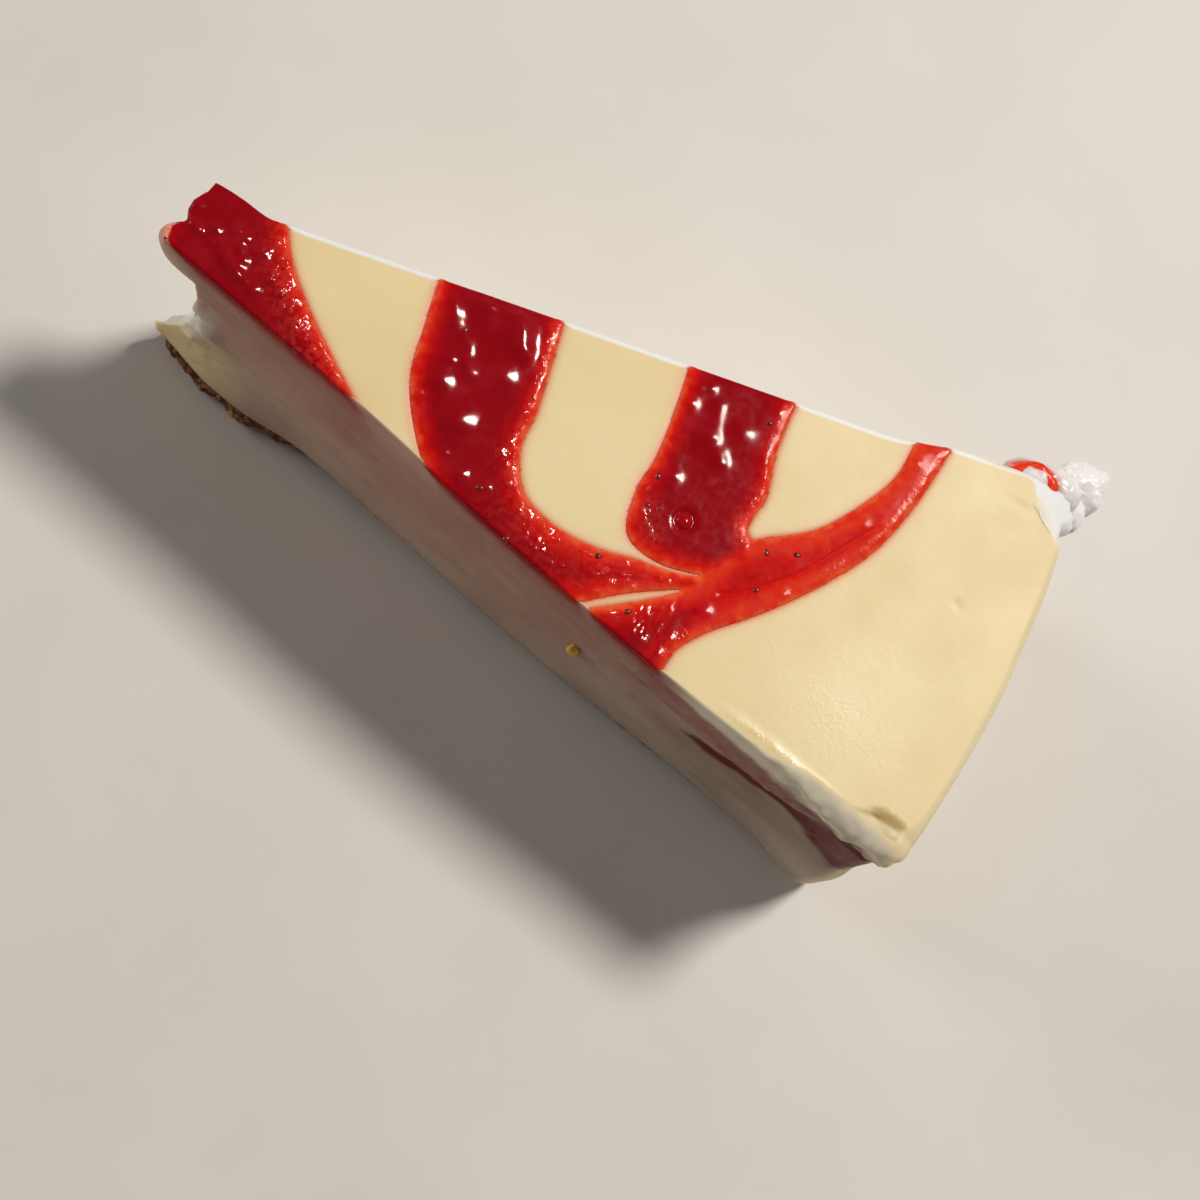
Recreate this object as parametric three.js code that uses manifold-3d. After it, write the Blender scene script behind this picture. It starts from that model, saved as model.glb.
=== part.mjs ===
// A slice of strawberry-swirl cheesecake: one sixteenth of a round cake, with a thin biscuit base, stripes of
// strawberry sauce pulled through its top with a knife, and a pocket of sauce inside at its rim end. Its tip
// is torn off, and a lump of the next slice hangs on to its far rim corner. Lengths are in millimetres. While
// it is shaped, the cake's centre is the origin, +X runs along the middle of the slice from the cake's centre
// to its rim, +Z is up, and the table is z = 0. "Near" is the cut face on the -Y side.

import * as THREE from "three";
import { mergeVertices } from "three/addons/utils/BufferGeometryUtils.js";
import Module from "manifold-3d";

const wasm = await Module();
wasm.setup();

// The cake
const CAKE_RADIUS = 127;
const SLICES_PER_CAKE = 16;
const SLICE_HEIGHT = 40;
const BASE_THICKNESS = 3.5;
const GAP = 0.3; // between pieces that touch
const HALF_ANGLE = Math.PI / SLICES_PER_CAKE;

// The cut faces and the rim
const NEAR = -1;
const FAR = 1;
const CORNER_RADIUS = 2.2; // where a cut face meets the rim, seen from above
const TOP_EDGE_RADIUS = 1.3;

// The torn tip. On the near face a bite leaves a prow at the top and a thin beak at the foot: reaches are
// distances from the cake's centre, and the bite fades out by a power of the height above or below its
// middle.
const TIP_REACH = 15.8;
const BITE_DEPTH = 6.6;
const BITE_MIDDLE = 25;
const BITE_ABOVE = { height: 15, power: 4.5 };
const BITE_BELOW = { height: 19, power: 1.8 };
const FAR_REACH = { foot: 22, top: 19 };
const PROW_FOOT = 31;
const PROW_TOP = 38;
const PROW_SWELL = 1.2;
const BEAK_POWER = 8; // the higher, the thinner the beak

// The torn surfaces are rough: the tip below its prow, and the lump at the far corner.
const TORN_RELIEF = 0.7;
const TORN_GRAIN = 2.2;
const TORN_TIP = { z: 18, halfZ: 22, core: 0.5 };
const TORN_LUMP = { side: FAR, s: 125.5, halfS: 8, z: 30, halfZ: 9, core: 0.4 };

// Swellings and dents of the two cut faces. s is the distance from the cake's centre along the face, and goes
// on round the corner along the rim; z is the height. They fade to nothing at halfS and halfZ, and are full
// over the core share. They go straight out of the face, or along the direction toward.
const SWELLINGS = [
  { side: NEAR, s: 80, halfS: 36, z: 38, halfZ: 16, out: 1.0, core: 0.2 },
  { side: NEAR, s: 76, halfS: 28, z: 2, halfZ: 16, out: 0.7, core: 0.2 },
  { side: NEAR, s: 106, halfS: 15, z: 31, halfZ: 4, out: 0.7, core: 0.1 }, // a smeared ridge
  { side: NEAR, s: 122, halfS: 22, z: 39, halfZ: 5, out: 0.7, core: 0.2 }, // the top's lip
  { side: NEAR, s: 125, halfS: 16, z: 33.4, halfZ: 3, out: -0.9, core: 0.1 }, // the step below it
  { side: FAR, s: 19, halfS: 8, z: 40, halfZ: 12, out: 1.4, core: 0.3 }, // the flare of the tip
  { side: FAR, s: 72, halfS: 36, z: 20, halfZ: 26, out: 0.5, core: 0.1 },
  { side: FAR, s: 116, halfS: 14, z: 39, halfZ: 12, out: 1.3, core: 0.2 },
  { side: FAR, s: 125.4, halfS: 7, z: 31, halfZ: 8.5, out: 4.6, core: 0.3 }, // the lump at the far corner
  { side: FAR, s: 126.6, halfS: 3.2, z: 32.5, halfZ: 6, out: 3.4, core: 0.1 }, // and the chip above it
  { side: FAR, s: 127, halfS: 6.5, z: 41, halfZ: 5.2, out: -3.1, core: 0.2, toward: [0.74, 0.67] },
];

// The biscuit base is a little smaller than what it carries, and crumbs of it stand out of the near face.
const BASE_INSET = 0.6;
const BASE_RELIEF = 0.45;
const BASE_GRAIN = 3.1;
const BASE_EDGE = { inset: 0.5, height: 0.8 }; // its worn upper and lower edges
const BASE_CRUMBS = [
  { side: NEAR, s: 25, halfS: 9, out: 2.5 },
  { side: NEAR, s: 34, halfS: 5, out: 1.2 },
  { side: NEAR, s: 62, halfS: 7, out: 1.7 },
  { side: NEAR, s: 82, halfS: 18, out: 1.1 },
  { side: NEAR, s: 112, halfS: 9, out: 1.1 },
  { side: FAR, s: 48, halfS: 10, out: 0.8 },
  { side: FAR, s: 96, halfS: 14, out: 0.9 },
].map((crumb) => ({ ...crumb, z: 1.2, halfZ: 3.6, core: 0.2 }));

// The stripes of sauce on the top. Each lies between two edges, smooth curves through [x, y] from the far
// face on.
const SAUCE_DEPTH = 2.2;
const SAUCE_RISE = 0.7; // how far a stripe's middle stands above the top
const SAUCE_CROWN = 4; // the power that keeps the middle level and turns the edges down
const SAUCE_LUMPS = 0.35;
const LUMP_GRAIN = 2.6;
const SAUCE_SETBACK = 0.35; // behind the walls of the cake
const TIP_PATCH = {
  left: [[8, 12], [10, 4], [10, -4], [18, -9], [30, -12]],
  right: [[26.6, 8.4], [27.8, 5.9], [30.4, 2.1], [35, -2], [41, -6.3], [49, -11.5]],
};
const WIDE_STRIPE = {
  // its tail runs along the near face
  left: [
    [45.1, 12.5], [45.8, 9.2], [47.1, 3], [48.6, -3], [52, -8.2], [58, -14],
    [68, -20], [76, -17.6], [82, -12.8], [88, -8.8], [95, -5.2],
  ],
  right: [
    [60.4, 15.5], [60.8, 12.2], [62, 6.5], [63.2, 0.5], [63.6, -4], [66.4, -8.3],
    [71, -9.9], [76.5, -9.8], [81, -8.7], [87, -7.4], [94, -3.6],
  ],
};
const MIDDLE_STRIPE = {
  // it ends in a blunt foot
  left: [
    [75.3, 18], [76, 15.1], [77.1, 9], [77.7, 3], [77.5, -1.5],
    [79, -6.5], [83, -7.7], [88, -6.7], [94, -4],
  ],
  right: [
    [89.2, 21], [89.3, 17.5], [89.9, 11], [91.3, 5.5], [91, 2.4],
    [91.2, 0.9], [92.6, 0.2], [94.5, -0.6], [97, -1.5],
  ],
};
const THIN_ARC = {
  // it fans out towards the near face
  left: [
    [104, 24], [104, 20.7], [103.8, 16], [101.6, 10.5], [98, 5], [93, 1],
    [90, -2], [88, -8.6], [84.5, -12.2], [79, -16.6], [74, -21],
  ],
  right: [
    [108.5, 25], [108.2, 21.5], [107.4, 14], [105.5, 6.5], [102, 0], [98, -5.7],
    [95, -9.2], [92.5, -12], [90.2, -15.8], [89.8, -19.5], [89.5, -25],
  ],
};
const SWIRL = [WIDE_STRIPE, MIDDLE_STRIPE, THIN_ARC];

// The pocket of sauce inside, a wing that follows the rim from the near face to just under the chip. Its
// section is given at both ends by shares of the way from its inner edge to the rim, with its underside's and
// its top's height.
const POCKET_WALL = 2.2; // cake left between the pocket and the rim
const POCKET_OPENING = { half: 0.3, core: 0.4 }; // the share of its way in which it comes out at the rim
const POCKET_NEAR = {
  inner: 101,
  sections: [[0, 20, 21], [0.35, 22.6, 26.2], [0.7, 22, 28.8], [1, 19.5, 31.4]],
};
const POCKET_FAR = {
  inner: 117,
  sections: [[0, 35.4, 36.4], [0.35, 35.3, 37], [0.7, 35.2, 37.4], [1, 35.2, 37.5]],
};
const PAST_WALL = 8; // how far it runs on past a wall before it is cut flush with it

// How finely the solids are faceted
const SIDE_STEPS = 40;
const RIM_STEPS = 18;
const CORNER_STEPS = 4;
const TIP_STEPS = 8;
const FILLING_HEIGHTS = [
  3.8, 4.8, 7.5, 11, 15, 19, 21.5, 24, 26.5, 28.5, 30,
  31.5, 33, 34.2, 35.2, 36.2, 37.4, 38.7, 39.4, 39.85, 40,
];
const BASE_HEIGHTS = [0, 0.8, 2, 3.1, 3.5];
const STRIPE_STEPS = 34;
const STRIPE_SHARES = [0, 0.06, 0.16, 0.32, 0.5, 0.68, 0.84, 0.94, 1];
const POCKET_STEPS = 12;

const clamp01 = (t) => Math.min(1, Math.max(0, t));
const smooth = (t) => clamp01(t) ** 2 * (3 - 2 * clamp01(t));
const mix = (a, b, t) => a + (b - a) * t;

// 1 over the core share of a hump's half width, falling smoothly to 0 at its full half width.
const hump = (offset, half, core = 0) => smooth((1 - Math.abs(offset) / half) / (1 - core));

// Smooth noise from -1 to 1, the same at every run: random values on a cubic lattice, blended between.
function latticeValue(i, j, k) {
  const n = Math.sin(i * 127.1 + j * 311.7 + k * 74.7) * 43758.5453;
  return 2 * (n - Math.floor(n)) - 1;
}
function noise(x, y, z) {
  const [i, j, k] = [x, y, z].map(Math.floor);
  const [u, v, w] = [smooth(x - i), smooth(y - j), smooth(z - k)];
  const along = (dj, dk) => mix(latticeValue(i, j + dj, k + dk), latticeValue(i + 1, j + dj, k + dk), u);
  return mix(mix(along(0, 0), along(1, 0), v), mix(along(0, 1), along(1, 1), v), w);
}

// How far from the cake's centre each cut face begins at a height.
function nearStart(z) {
  const { height, power } = z > BITE_MIDDLE ? BITE_ABOVE : BITE_BELOW;
  return TIP_REACH + BITE_DEPTH * (1 - clamp01(Math.abs(z - BITE_MIDDLE) / height) ** power);
}
const prow = (z) => smooth((z - PROW_FOOT) / (PROW_TOP - PROW_FOOT));
const farStart = (z) => mix(FAR_REACH.foot, FAR_REACH.top, prow(z));

// A point of a cut face, at a distance s from the cake's centre, with its outward normal.
function facePoint(side, s) {
  return {
    x: s * Math.cos(HALF_ANGLE),
    y: side * s * Math.sin(HALF_ANGLE),
    nx: -Math.sin(HALF_ANGLE),
    ny: side * Math.cos(HALF_ANGLE),
    s: { [side]: s },
  };
}

// The points of the rounded corner between a cut face and the rim, from the face on.
function cornerPoints(side) {
  const centreRadius = CAKE_RADIUS - CORNER_RADIUS;
  const turn = Math.asin(CORNER_RADIUS / centreRadius);
  const centreAngle = side * (HALF_ANGLE - turn);
  const start = side * (HALF_ANGLE + Math.PI / 2);
  return Array.from({ length: CORNER_STEPS + 1 }, (_, i) => {
    const angle = mix(start, centreAngle, i / CORNER_STEPS);
    const [nx, ny] = [Math.cos(angle), Math.sin(angle)];
    const s = mix(centreRadius * Math.cos(turn), CAKE_RADIUS + CAKE_RADIUS * turn, i / CORNER_STEPS);
    return {
      x: centreRadius * Math.cos(centreAngle) + CORNER_RADIUS * nx,
      y: centreRadius * Math.sin(centreAngle) + CORNER_RADIUS * ny,
      nx,
      ny,
      s: { [side]: s },
    };
  });
}

// The slice's outline at a height, anticlockwise from above: near face, rim, far face, torn tip.
function outline(z) {
  const corner = Math.asin(CORNER_RADIUS / (CAKE_RADIUS - CORNER_RADIUS));
  const faceEnd = (CAKE_RADIUS - CORNER_RADIUS) * Math.cos(corner);
  const face = (side, start) =>
    Array.from({ length: SIDE_STEPS }, (_, i) => facePoint(side, mix(start, faceEnd, i / SIDE_STEPS)));
  const [near, far] = [face(NEAR, nearStart(z)), face(FAR, farStart(z))];
  const rimAngle = HALF_ANGLE - corner;
  const rim = Array.from({ length: RIM_STEPS - 1 }, (_, i) => {
    const angle = mix(-rimAngle, rimAngle, (i + 1) / RIM_STEPS);
    const [nx, ny] = [Math.cos(angle), Math.sin(angle)];
    const past = (side) => CAKE_RADIUS * (1 + HALF_ANGLE - side * angle);
    const s = { [NEAR]: past(NEAR), [FAR]: past(FAR) };
    return { x: CAKE_RADIUS * nx, y: CAKE_RADIUS * ny, nx, ny, s };
  });
  const tip = Array.from({ length: TIP_STEPS - 1 }, (_, i) => {
    const share = (i + 1) / TIP_STEPS;
    const forward = mix(share ** BEAK_POWER, share, prow(z));
    const x = mix(far[0].x, near[0].x, forward) - prow(z) * PROW_SWELL * 4 * share * (1 - share);
    return { x, y: mix(far[0].y, near[0].y, share), nx: -1, ny: 0, s: {}, isTip: true };
  });
  return [...near, ...cornerPoints(NEAR), ...rim, ...cornerPoints(FAR).reverse(), ...far.reverse(), ...tip];
}

// How much of a swelling or a torn patch is felt at a point of the outline at a height, from 0 to 1.
function felt(patch, point, z) {
  const s = point.s[patch.side];
  if (s === undefined) return 0;
  return hump(s - patch.s, patch.halfS, patch.core) * hump(z - patch.z, patch.halfZ, patch.core);
}

// A point of the outline at a height, moved by all of a list's swellings, and then straight outwards.
function moved(point, z, list, outwards) {
  let [x, y] = [point.x + point.nx * outwards, point.y + point.ny * outwards];
  for (const patch of list) {
    const out = patch.out * felt(patch, point, z);
    const [dx, dy] = patch.toward ?? [point.nx, point.ny];
    x += out * dx;
    y += out * dy;
  }
  return [x, y];
}

// A ring of the cake's wall at a height, with its swellings and torn surface, moved inwards by inset.
function fillingRing(z, inset = 0) {
  return outline(z).map((p) => {
    const torn = p.isTip ? hump(z - TORN_TIP.z, TORN_TIP.halfZ, TORN_TIP.core) : felt(TORN_LUMP, p, z);
    const rough = TORN_RELIEF * torn * noise(p.x / TORN_GRAIN, p.y / TORN_GRAIN, z / TORN_GRAIN);
    return [...moved(p, z, SWELLINGS, rough - inset), z];
  });
}

// A ring of the biscuit base, crumbly all round.
function baseRing(z) {
  const edge = BASE_EDGE.inset * hump(Math.min(z, BASE_THICKNESS - z), BASE_EDGE.height);
  return outline(BASE_THICKNESS).map((p) => {
    const rough = BASE_RELIEF * noise(p.x / BASE_GRAIN, p.y / BASE_GRAIN, z / BASE_GRAIN);
    return [...moved(p, z, BASE_CRUMBS, rough - BASE_INSET - edge), z];
  });
}

function meshOf(points, index) {
  const geometry = new THREE.BufferGeometry();
  geometry.setAttribute("position", new THREE.Float32BufferAttribute(points.flat(), 3));
  return geometry.setIndex(index);
}

// The faces of the wall between neighbouring rings of count points each.
function wallFaces(ringCount, count, inward = false) {
  const index = [];
  for (let j = 0; j + 1 < ringCount; j++)
    for (let i = 0; i < count; i++) {
      const [a, b] = [j * count + i, j * count + ((i + 1) % count)];
      const faces = [a, b, b + count, a, b + count, a + count];
      index.push(...(inward ? faces.reverse() : faces));
    }
  return index;
}

// A ring's flat inside, in triangles between its two sides. They are zipped together from the first and the
// last point on, always by the shorter of the two next rungs.
function zipped(ring) {
  const rung = (i, k) => Math.hypot(ring[i][0] - ring[k][0], ring[i][1] - ring[k][1]);
  const index = [];
  let [i, k] = [0, ring.length - 1];
  while (i + 1 < k)
    if (rung(i + 1, k) < rung(i, k - 1)) index.push(i, ++i, k);
    else index.push(i, --k, k + 1);
  return index;
}

// The closed surface through a stack of level rings, from the lowest up.
function skin(rings) {
  const count = rings[0].length;
  const top = (rings.length - 1) * count;
  const lid = zipped(rings.at(-1)).map((i) => top + i);
  return meshOf(rings.flat(), [...wallFaces(rings.length, count), ...zipped(rings[0]).reverse(), ...lid]);
}

// The closed surface through a row of sections that all have the same number of points, with fanned ends.
function loft(sections) {
  const count = sections[0].length;
  const last = (sections.length - 1) * count;
  const index = wallFaces(sections.length, count, true);
  for (let i = 1; i + 1 < count; i++) index.push(0, i, i + 1, last, last + i + 1, last + i);
  return meshOf(sections.flat(), index);
}

// three.js geometry to a manifold-3d solid, and back
function solidOf(geometry) {
  const merged = mergeVertices(geometry);
  const vertProperties = merged.attributes.position.array;
  const triVerts = new Uint32Array(merged.index.array);
  return new wasm.Manifold(new wasm.Mesh({ numProp: 3, vertProperties, triVerts }));
}
function geometryOf(solid) {
  const mesh = solid.getMesh();
  const geometry = new THREE.BufferGeometry();
  geometry.setAttribute("position", new THREE.Float32BufferAttribute(mesh.vertProperties, 3));
  geometry.setIndex(new THREE.Uint32BufferAttribute(mesh.triVerts, 1));
  return geometry;
}

// The plain body of the cake between the biscuit base and the top, with its rounded upper edge.
function fillingBody() {
  const rings = FILLING_HEIGHTS.map((z) => {
    const rise = Math.max(0, z - (SLICE_HEIGHT - TOP_EDGE_RADIUS));
    return fillingRing(z, TOP_EDGE_RADIUS - Math.sqrt(TOP_EDGE_RADIUS ** 2 - rise ** 2));
  });
  return solidOf(skin(rings));
}

// The room for sauce inside the walls of the cake, open above its top.
function sauceRoom() {
  const floor = SLICE_HEIGHT - 2 * SAUCE_DEPTH;
  const upright = [floor, SLICE_HEIGHT].map((z) => fillingRing(z, SAUCE_SETBACK));
  const above = upright[1].map(([x, y]) => [x, y, SLICE_HEIGHT + SAUCE_DEPTH]);
  return solidOf(skin([...upright, above]));
}

const smoothCurve = (points) =>
  new THREE.CatmullRomCurve3(points.map(([x, y]) => new THREE.Vector3(x, y, 0)), false, "centripetal");

// A stripe of sauce between its two edges, or with a gap the channel that it lies in. Its top swells between
// the edges, with small lumps, and the channel is open above.
function stripe({ left, right }, gap = 0) {
  const [leftEdge, rightEdge] = [smoothCurve(left), smoothCurve(right)];
  const floor = SLICE_HEIGHT - SAUCE_DEPTH - gap;
  const sections = Array.from({ length: STRIPE_STEPS + 1 }, (_, j) => {
    const [a, b] = [leftEdge.getPoint(j / STRIPE_STEPS), rightEdge.getPoint(j / STRIPE_STEPS)];
    const across = b.clone().sub(a).normalize();
    a.addScaledVector(across, -gap);
    b.addScaledVector(across, gap);
    const top = STRIPE_SHARES.map((share) => {
      const { x, y } = a.clone().lerp(b, share);
      const crown = 1 - (2 * share - 1) ** SAUCE_CROWN;
      const lumps = SAUCE_LUMPS * noise(x / LUMP_GRAIN, y / LUMP_GRAIN, 0);
      return [x, y, SLICE_HEIGHT + (gap ? SAUCE_DEPTH : crown * (SAUCE_RISE + lumps))];
    });
    return [...top, [b.x, b.y, floor], [a.x, a.y, floor]];
  });
  return solidOf(loft(sections));
}

// The pocket of sauce inside the rim end, or with a gap the hollow that it fills.
function pocket(gap = 0) {
  const end = HALF_ANGLE + (0.5 * PAST_WALL) / CAKE_RADIUS;
  const sections = Array.from({ length: POCKET_STEPS + 1 }, (_, j) => {
    const share = j / POCKET_STEPS;
    const angle = mix(-end, end, share);
    const inner = mix(POCKET_NEAR.inner, POCKET_FAR.inner, share) - gap;
    const opened = hump(share, POCKET_OPENING.half, POCKET_OPENING.core);
    const outer = CAKE_RADIUS + mix(-POCKET_WALL, PAST_WALL, opened) + gap;
    const point = (i, k, lift) => {
      const [near, far] = [POCKET_NEAR.sections[i], POCKET_FAR.sections[i]];
      const radius = mix(inner, outer, near[0]);
      return [radius * Math.cos(angle), radius * Math.sin(angle), mix(near[k], far[k], share) + lift];
    };
    const under = POCKET_NEAR.sections.map((_, i) => point(i, 1, -gap));
    const over = POCKET_NEAR.sections.map((_, i) => point(i, 2, gap));
    return [...under, ...over.reverse()];
  });
  return solidOf(loft(sections));
}

const material = (color, roughness) => new THREE.MeshStandardMaterial({ color, roughness, metalness: 0 });
const creamFinish = material(0xf0dfb4, 0.45);
const biscuitFinish = material(0x9a6a38, 0.85);
const sauceFinish = material(0xb80f12, 0.15);

const joined = (solids) => solids.reduce((a, b) => a.add(b));

const biscuitBase = solidOf(skin(BASE_HEIGHTS.map(baseRing)));
const body = fillingBody();
const innerSauce = pocket().intersect(body);
const tipPatch = stripe(TIP_PATCH).intersect(sauceRoom());
const swirl = joined(SWIRL.map((edges) => stripe(edges))).intersect(sauceRoom());
const channels = joined([TIP_PATCH, ...SWIRL].map((edges) => stripe(edges, GAP)));
const filling = body.subtract(channels).subtract(pocket(GAP));

const slice = new THREE.Group();
function addPiece(name, solid, finish) {
  const mesh = new THREE.Mesh(geometryOf(solid), finish);
  mesh.name = name;
  slice.add(mesh);
}
addPiece("biscuit_base", biscuitBase, biscuitFinish);
addPiece("cheesecake", filling, creamFinish);
addPiece("strawberry_tip", tipPatch, sauceFinish);
addPiece("strawberry_swirl", swirl, sauceFinish);
addPiece("strawberry_pocket", innerSauce, sauceFinish);

// The finished slice stands on its own middle: the origin is under the centre of its bounding box.
const bounds = new THREE.Box3().setFromObject(slice);
const middle = bounds.getCenter(new THREE.Vector3());
slice.position.set(-middle.x, -middle.y, -bounds.min.z);

export default slice;
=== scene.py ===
"""The looks of a slice of strawberry-swirl cheesecake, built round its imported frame. Sizes are in
millimetres, seen from the centre of the whole cake: +X runs along the middle of the slice to its rim, +Z is
up, and the table is z = 0. "Near" is the cut face on the -Y side. Points are moved to the slice's own middle
as a mesh is made."""

import bpy
import numpy as np
from mathutils import Matrix, Vector


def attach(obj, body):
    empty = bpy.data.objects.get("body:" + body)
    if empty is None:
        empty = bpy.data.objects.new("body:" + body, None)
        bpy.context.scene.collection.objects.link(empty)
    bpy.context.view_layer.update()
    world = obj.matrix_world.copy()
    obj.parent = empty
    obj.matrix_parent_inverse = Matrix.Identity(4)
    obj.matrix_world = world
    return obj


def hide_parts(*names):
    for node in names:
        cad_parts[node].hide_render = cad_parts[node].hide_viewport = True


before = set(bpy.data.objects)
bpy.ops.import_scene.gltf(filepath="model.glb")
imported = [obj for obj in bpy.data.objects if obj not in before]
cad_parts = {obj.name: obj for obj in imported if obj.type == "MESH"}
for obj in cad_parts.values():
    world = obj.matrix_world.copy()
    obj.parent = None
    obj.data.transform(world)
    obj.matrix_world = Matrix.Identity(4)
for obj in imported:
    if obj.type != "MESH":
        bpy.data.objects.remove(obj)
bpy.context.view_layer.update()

# ----------------------------------------------------------------------------------------------------------
# The biscuit base: crushed biscuit bound with butter and pressed into a thin brown layer, on which the
# filling is baked. The knife leaves it crumbly all round, with coarse crumbs standing out near the tip.

MM = 0.001
SLICE_MIDDLE = np.array([72.7612, 3.4503, 0.0])
CAKE_RADIUS = 127.0
HALF_ANGLE = np.pi / 16
CORNER_RADIUS = 2.2
NEAR, FAR = -1, 1
OFF_FACE = 1e6  # the distance along a face that a point has when it isn't on that face

# The torn tip: how far from the cake's centre the faces begin, with a bite below the top's prow
TIP_REACH = 15.8
TOP_BACK, TOP_BACK_FROM, TOP_BACK_WITHIN = 1.3, 32.0, 5.0  # at the top the near face is drawn back again
BITE_DEPTH = 6.6
BITE_MIDDLE = 25.0
BITE_ABOVE = (15.0, 4.5)  # height and power
BITE_BELOW = (19.0, 1.8)
FAR_REACH_FOOT, FAR_REACH_TOP = 22.0, 19.0
PROW_FOOT, PROW_TOP = 31.0, 38.0
BEAK_POWER = 2  # how late the front below the prow turns forward, from the far to the near side
# how the torn edges wander: the coarse depth and grain and the half height, then what both edges share
NEAR_RAGS, FAR_RAGS = (0.35, 2.1, 16.0), (0.4, 2.4, 17.0)
RAGS_MIDDLE, FINE_RAG_DEPTH, FINE_RAG_GRAIN = 19.0, 0.2, 0.9
# the top's torn front: the share of the way from the far to the near side, and how far it is drawn back
FRONT_SHARE = [0, 0.2, 0.35, 0.5, 0.62, 0.8, 1]
FRONT_BACK = [0, -0.65, -0.5, 0.25, 0.35, -0.3, 0]

# Cells round the slice's plan. The top's grid has SIDE_CELLS along and END_CELLS across.
FACE_CELLS, CORNER_CELLS, RIM_CELLS = 220, 40, 96
END_CELLS = RIM_CELLS + CORNER_CELLS
SIDE_CELLS = FACE_CELLS + CORNER_CELLS // 2
COLUMNS = 2 * (SIDE_CELLS + END_CELLS)


def smooth(t):
    """A step from 0 to 1 with level ends: 3 t squared less 2 t cubed, held outside 0 to 1."""
    t = np.clip(t, 0.0, 1.0)
    return t * t * (3 - 2 * t)


def mix(a, b, t):
    """A straight blend from a, where t is 0, to b, where it is 1."""
    return a + (b - a) * t


def hump(offset, half, core=0.0):
    """1 over the core share of a half width, falling by a smooth step to 0 at the full half width."""
    return smooth((1 - np.abs(offset) / half) / (1 - core))


def lattice_value(i, j, k):
    """A random number from -1 to 1 for each lattice point: what a large sine leaves behind its point."""
    n = np.sin(i * 127.1 + j * 311.7 + k * 74.7) * 43758.5453
    return 2 * (n - np.floor(n)) - 1


def noise(x, y, z):
    """Smooth noise from -1 to 1: random values on a cubic lattice, blended between by smooth steps."""
    i, j, k = np.floor(x), np.floor(y), np.floor(z)
    u, v, w = smooth(x - i), smooth(y - j), smooth(z - k)
    total = 0.0
    for a, b, c in np.ndindex(2, 2, 2):
        share = (u if a else 1 - u) * (v if b else 1 - v) * (w if c else 1 - w)
        total = total + share * lattice_value(i + a, j + b, k + c)
    return total


def crumbs(x, y, z):
    """Rounded crumbs of about unit size: 1 at a random spot in each lattice cell, falling by the distance."""
    i, j, k = np.floor(x), np.floor(y), np.floor(z)
    nearest = 9.0
    for a, b, c in np.ndindex(3, 3, 3):
        p, q, r = i + a - 1, j + b - 1, k + c - 1
        dx = p + 0.5 + 0.4 * lattice_value(p, q, r) - x
        dy = q + 0.5 + 0.4 * lattice_value(q, r, p) - y
        dz = r + 0.5 + 0.4 * lattice_value(r, p, q) - z
        nearest = np.minimum(nearest, dx * dx + dy * dy + dz * dz)
    return 1 - np.sqrt(nearest)


def waves(x, y, z, grain, depth):
    """Noise of one grain in millimetres all ways, as deep as said."""
    return depth * noise(x / grain, y / grain, z / grain)


def clumps(x, y, z, grain, depth):
    """Crumbs of one size in millimetres all ways, half standing out and half sunk, as deep as said."""
    return depth * (crumbs(x / grain, y / grain, z / grain) - 0.5)


def ragged(z, rags, seed):
    """How far a torn edge wanders at heights z: coarse and fine noise, over the heights that are torn."""
    depth, grain, half = rags
    coarse = depth * noise(z / grain, 0.5, seed)
    fine = FINE_RAG_DEPTH * noise(z / FINE_RAG_GRAIN, 0.5, seed + 4)
    return (coarse + fine) * hump(z - RAGS_MIDDLE, half, 0.3)


def near_start(z):
    """Where the near face begins: the tip's reach, its wander, and a bite that fades by a power of the
    height off its middle."""
    height = np.where(z > BITE_MIDDLE, BITE_ABOVE[0], BITE_BELOW[0])
    power = np.where(z > BITE_MIDDLE, BITE_ABOVE[1], BITE_BELOW[1])
    bite = BITE_DEPTH * (1 - np.clip(np.abs(z - BITE_MIDDLE) / height, 0, 1) ** power)
    drawn_back = TOP_BACK * smooth((z - TOP_BACK_FROM) / TOP_BACK_WITHIN)
    return TIP_REACH + ragged(z, NEAR_RAGS, 3.5) + bite + drawn_back


def prow(z):
    """How much of the top's prow there is at heights z: a smooth step between its foot and its top."""
    return smooth((z - PROW_FOOT) / (PROW_TOP - PROW_FOOT))


def far_start(z):
    """Where the far face begins: the foot's reach blended to the top's by the prow, and its wander."""
    return mix(FAR_REACH_FOOT, FAR_REACH_TOP, prow(z)) + ragged(z, FAR_RAGS, 13.5)


# the rim corners are arcs that touch the cut faces here, this far from the cake's centre
CORNER_TURN = np.arcsin(CORNER_RADIUS / (CAKE_RADIUS - CORNER_RADIUS))
FACE_END = (CAKE_RADIUS - CORNER_RADIUS) * np.cos(CORNER_TURN)


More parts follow.
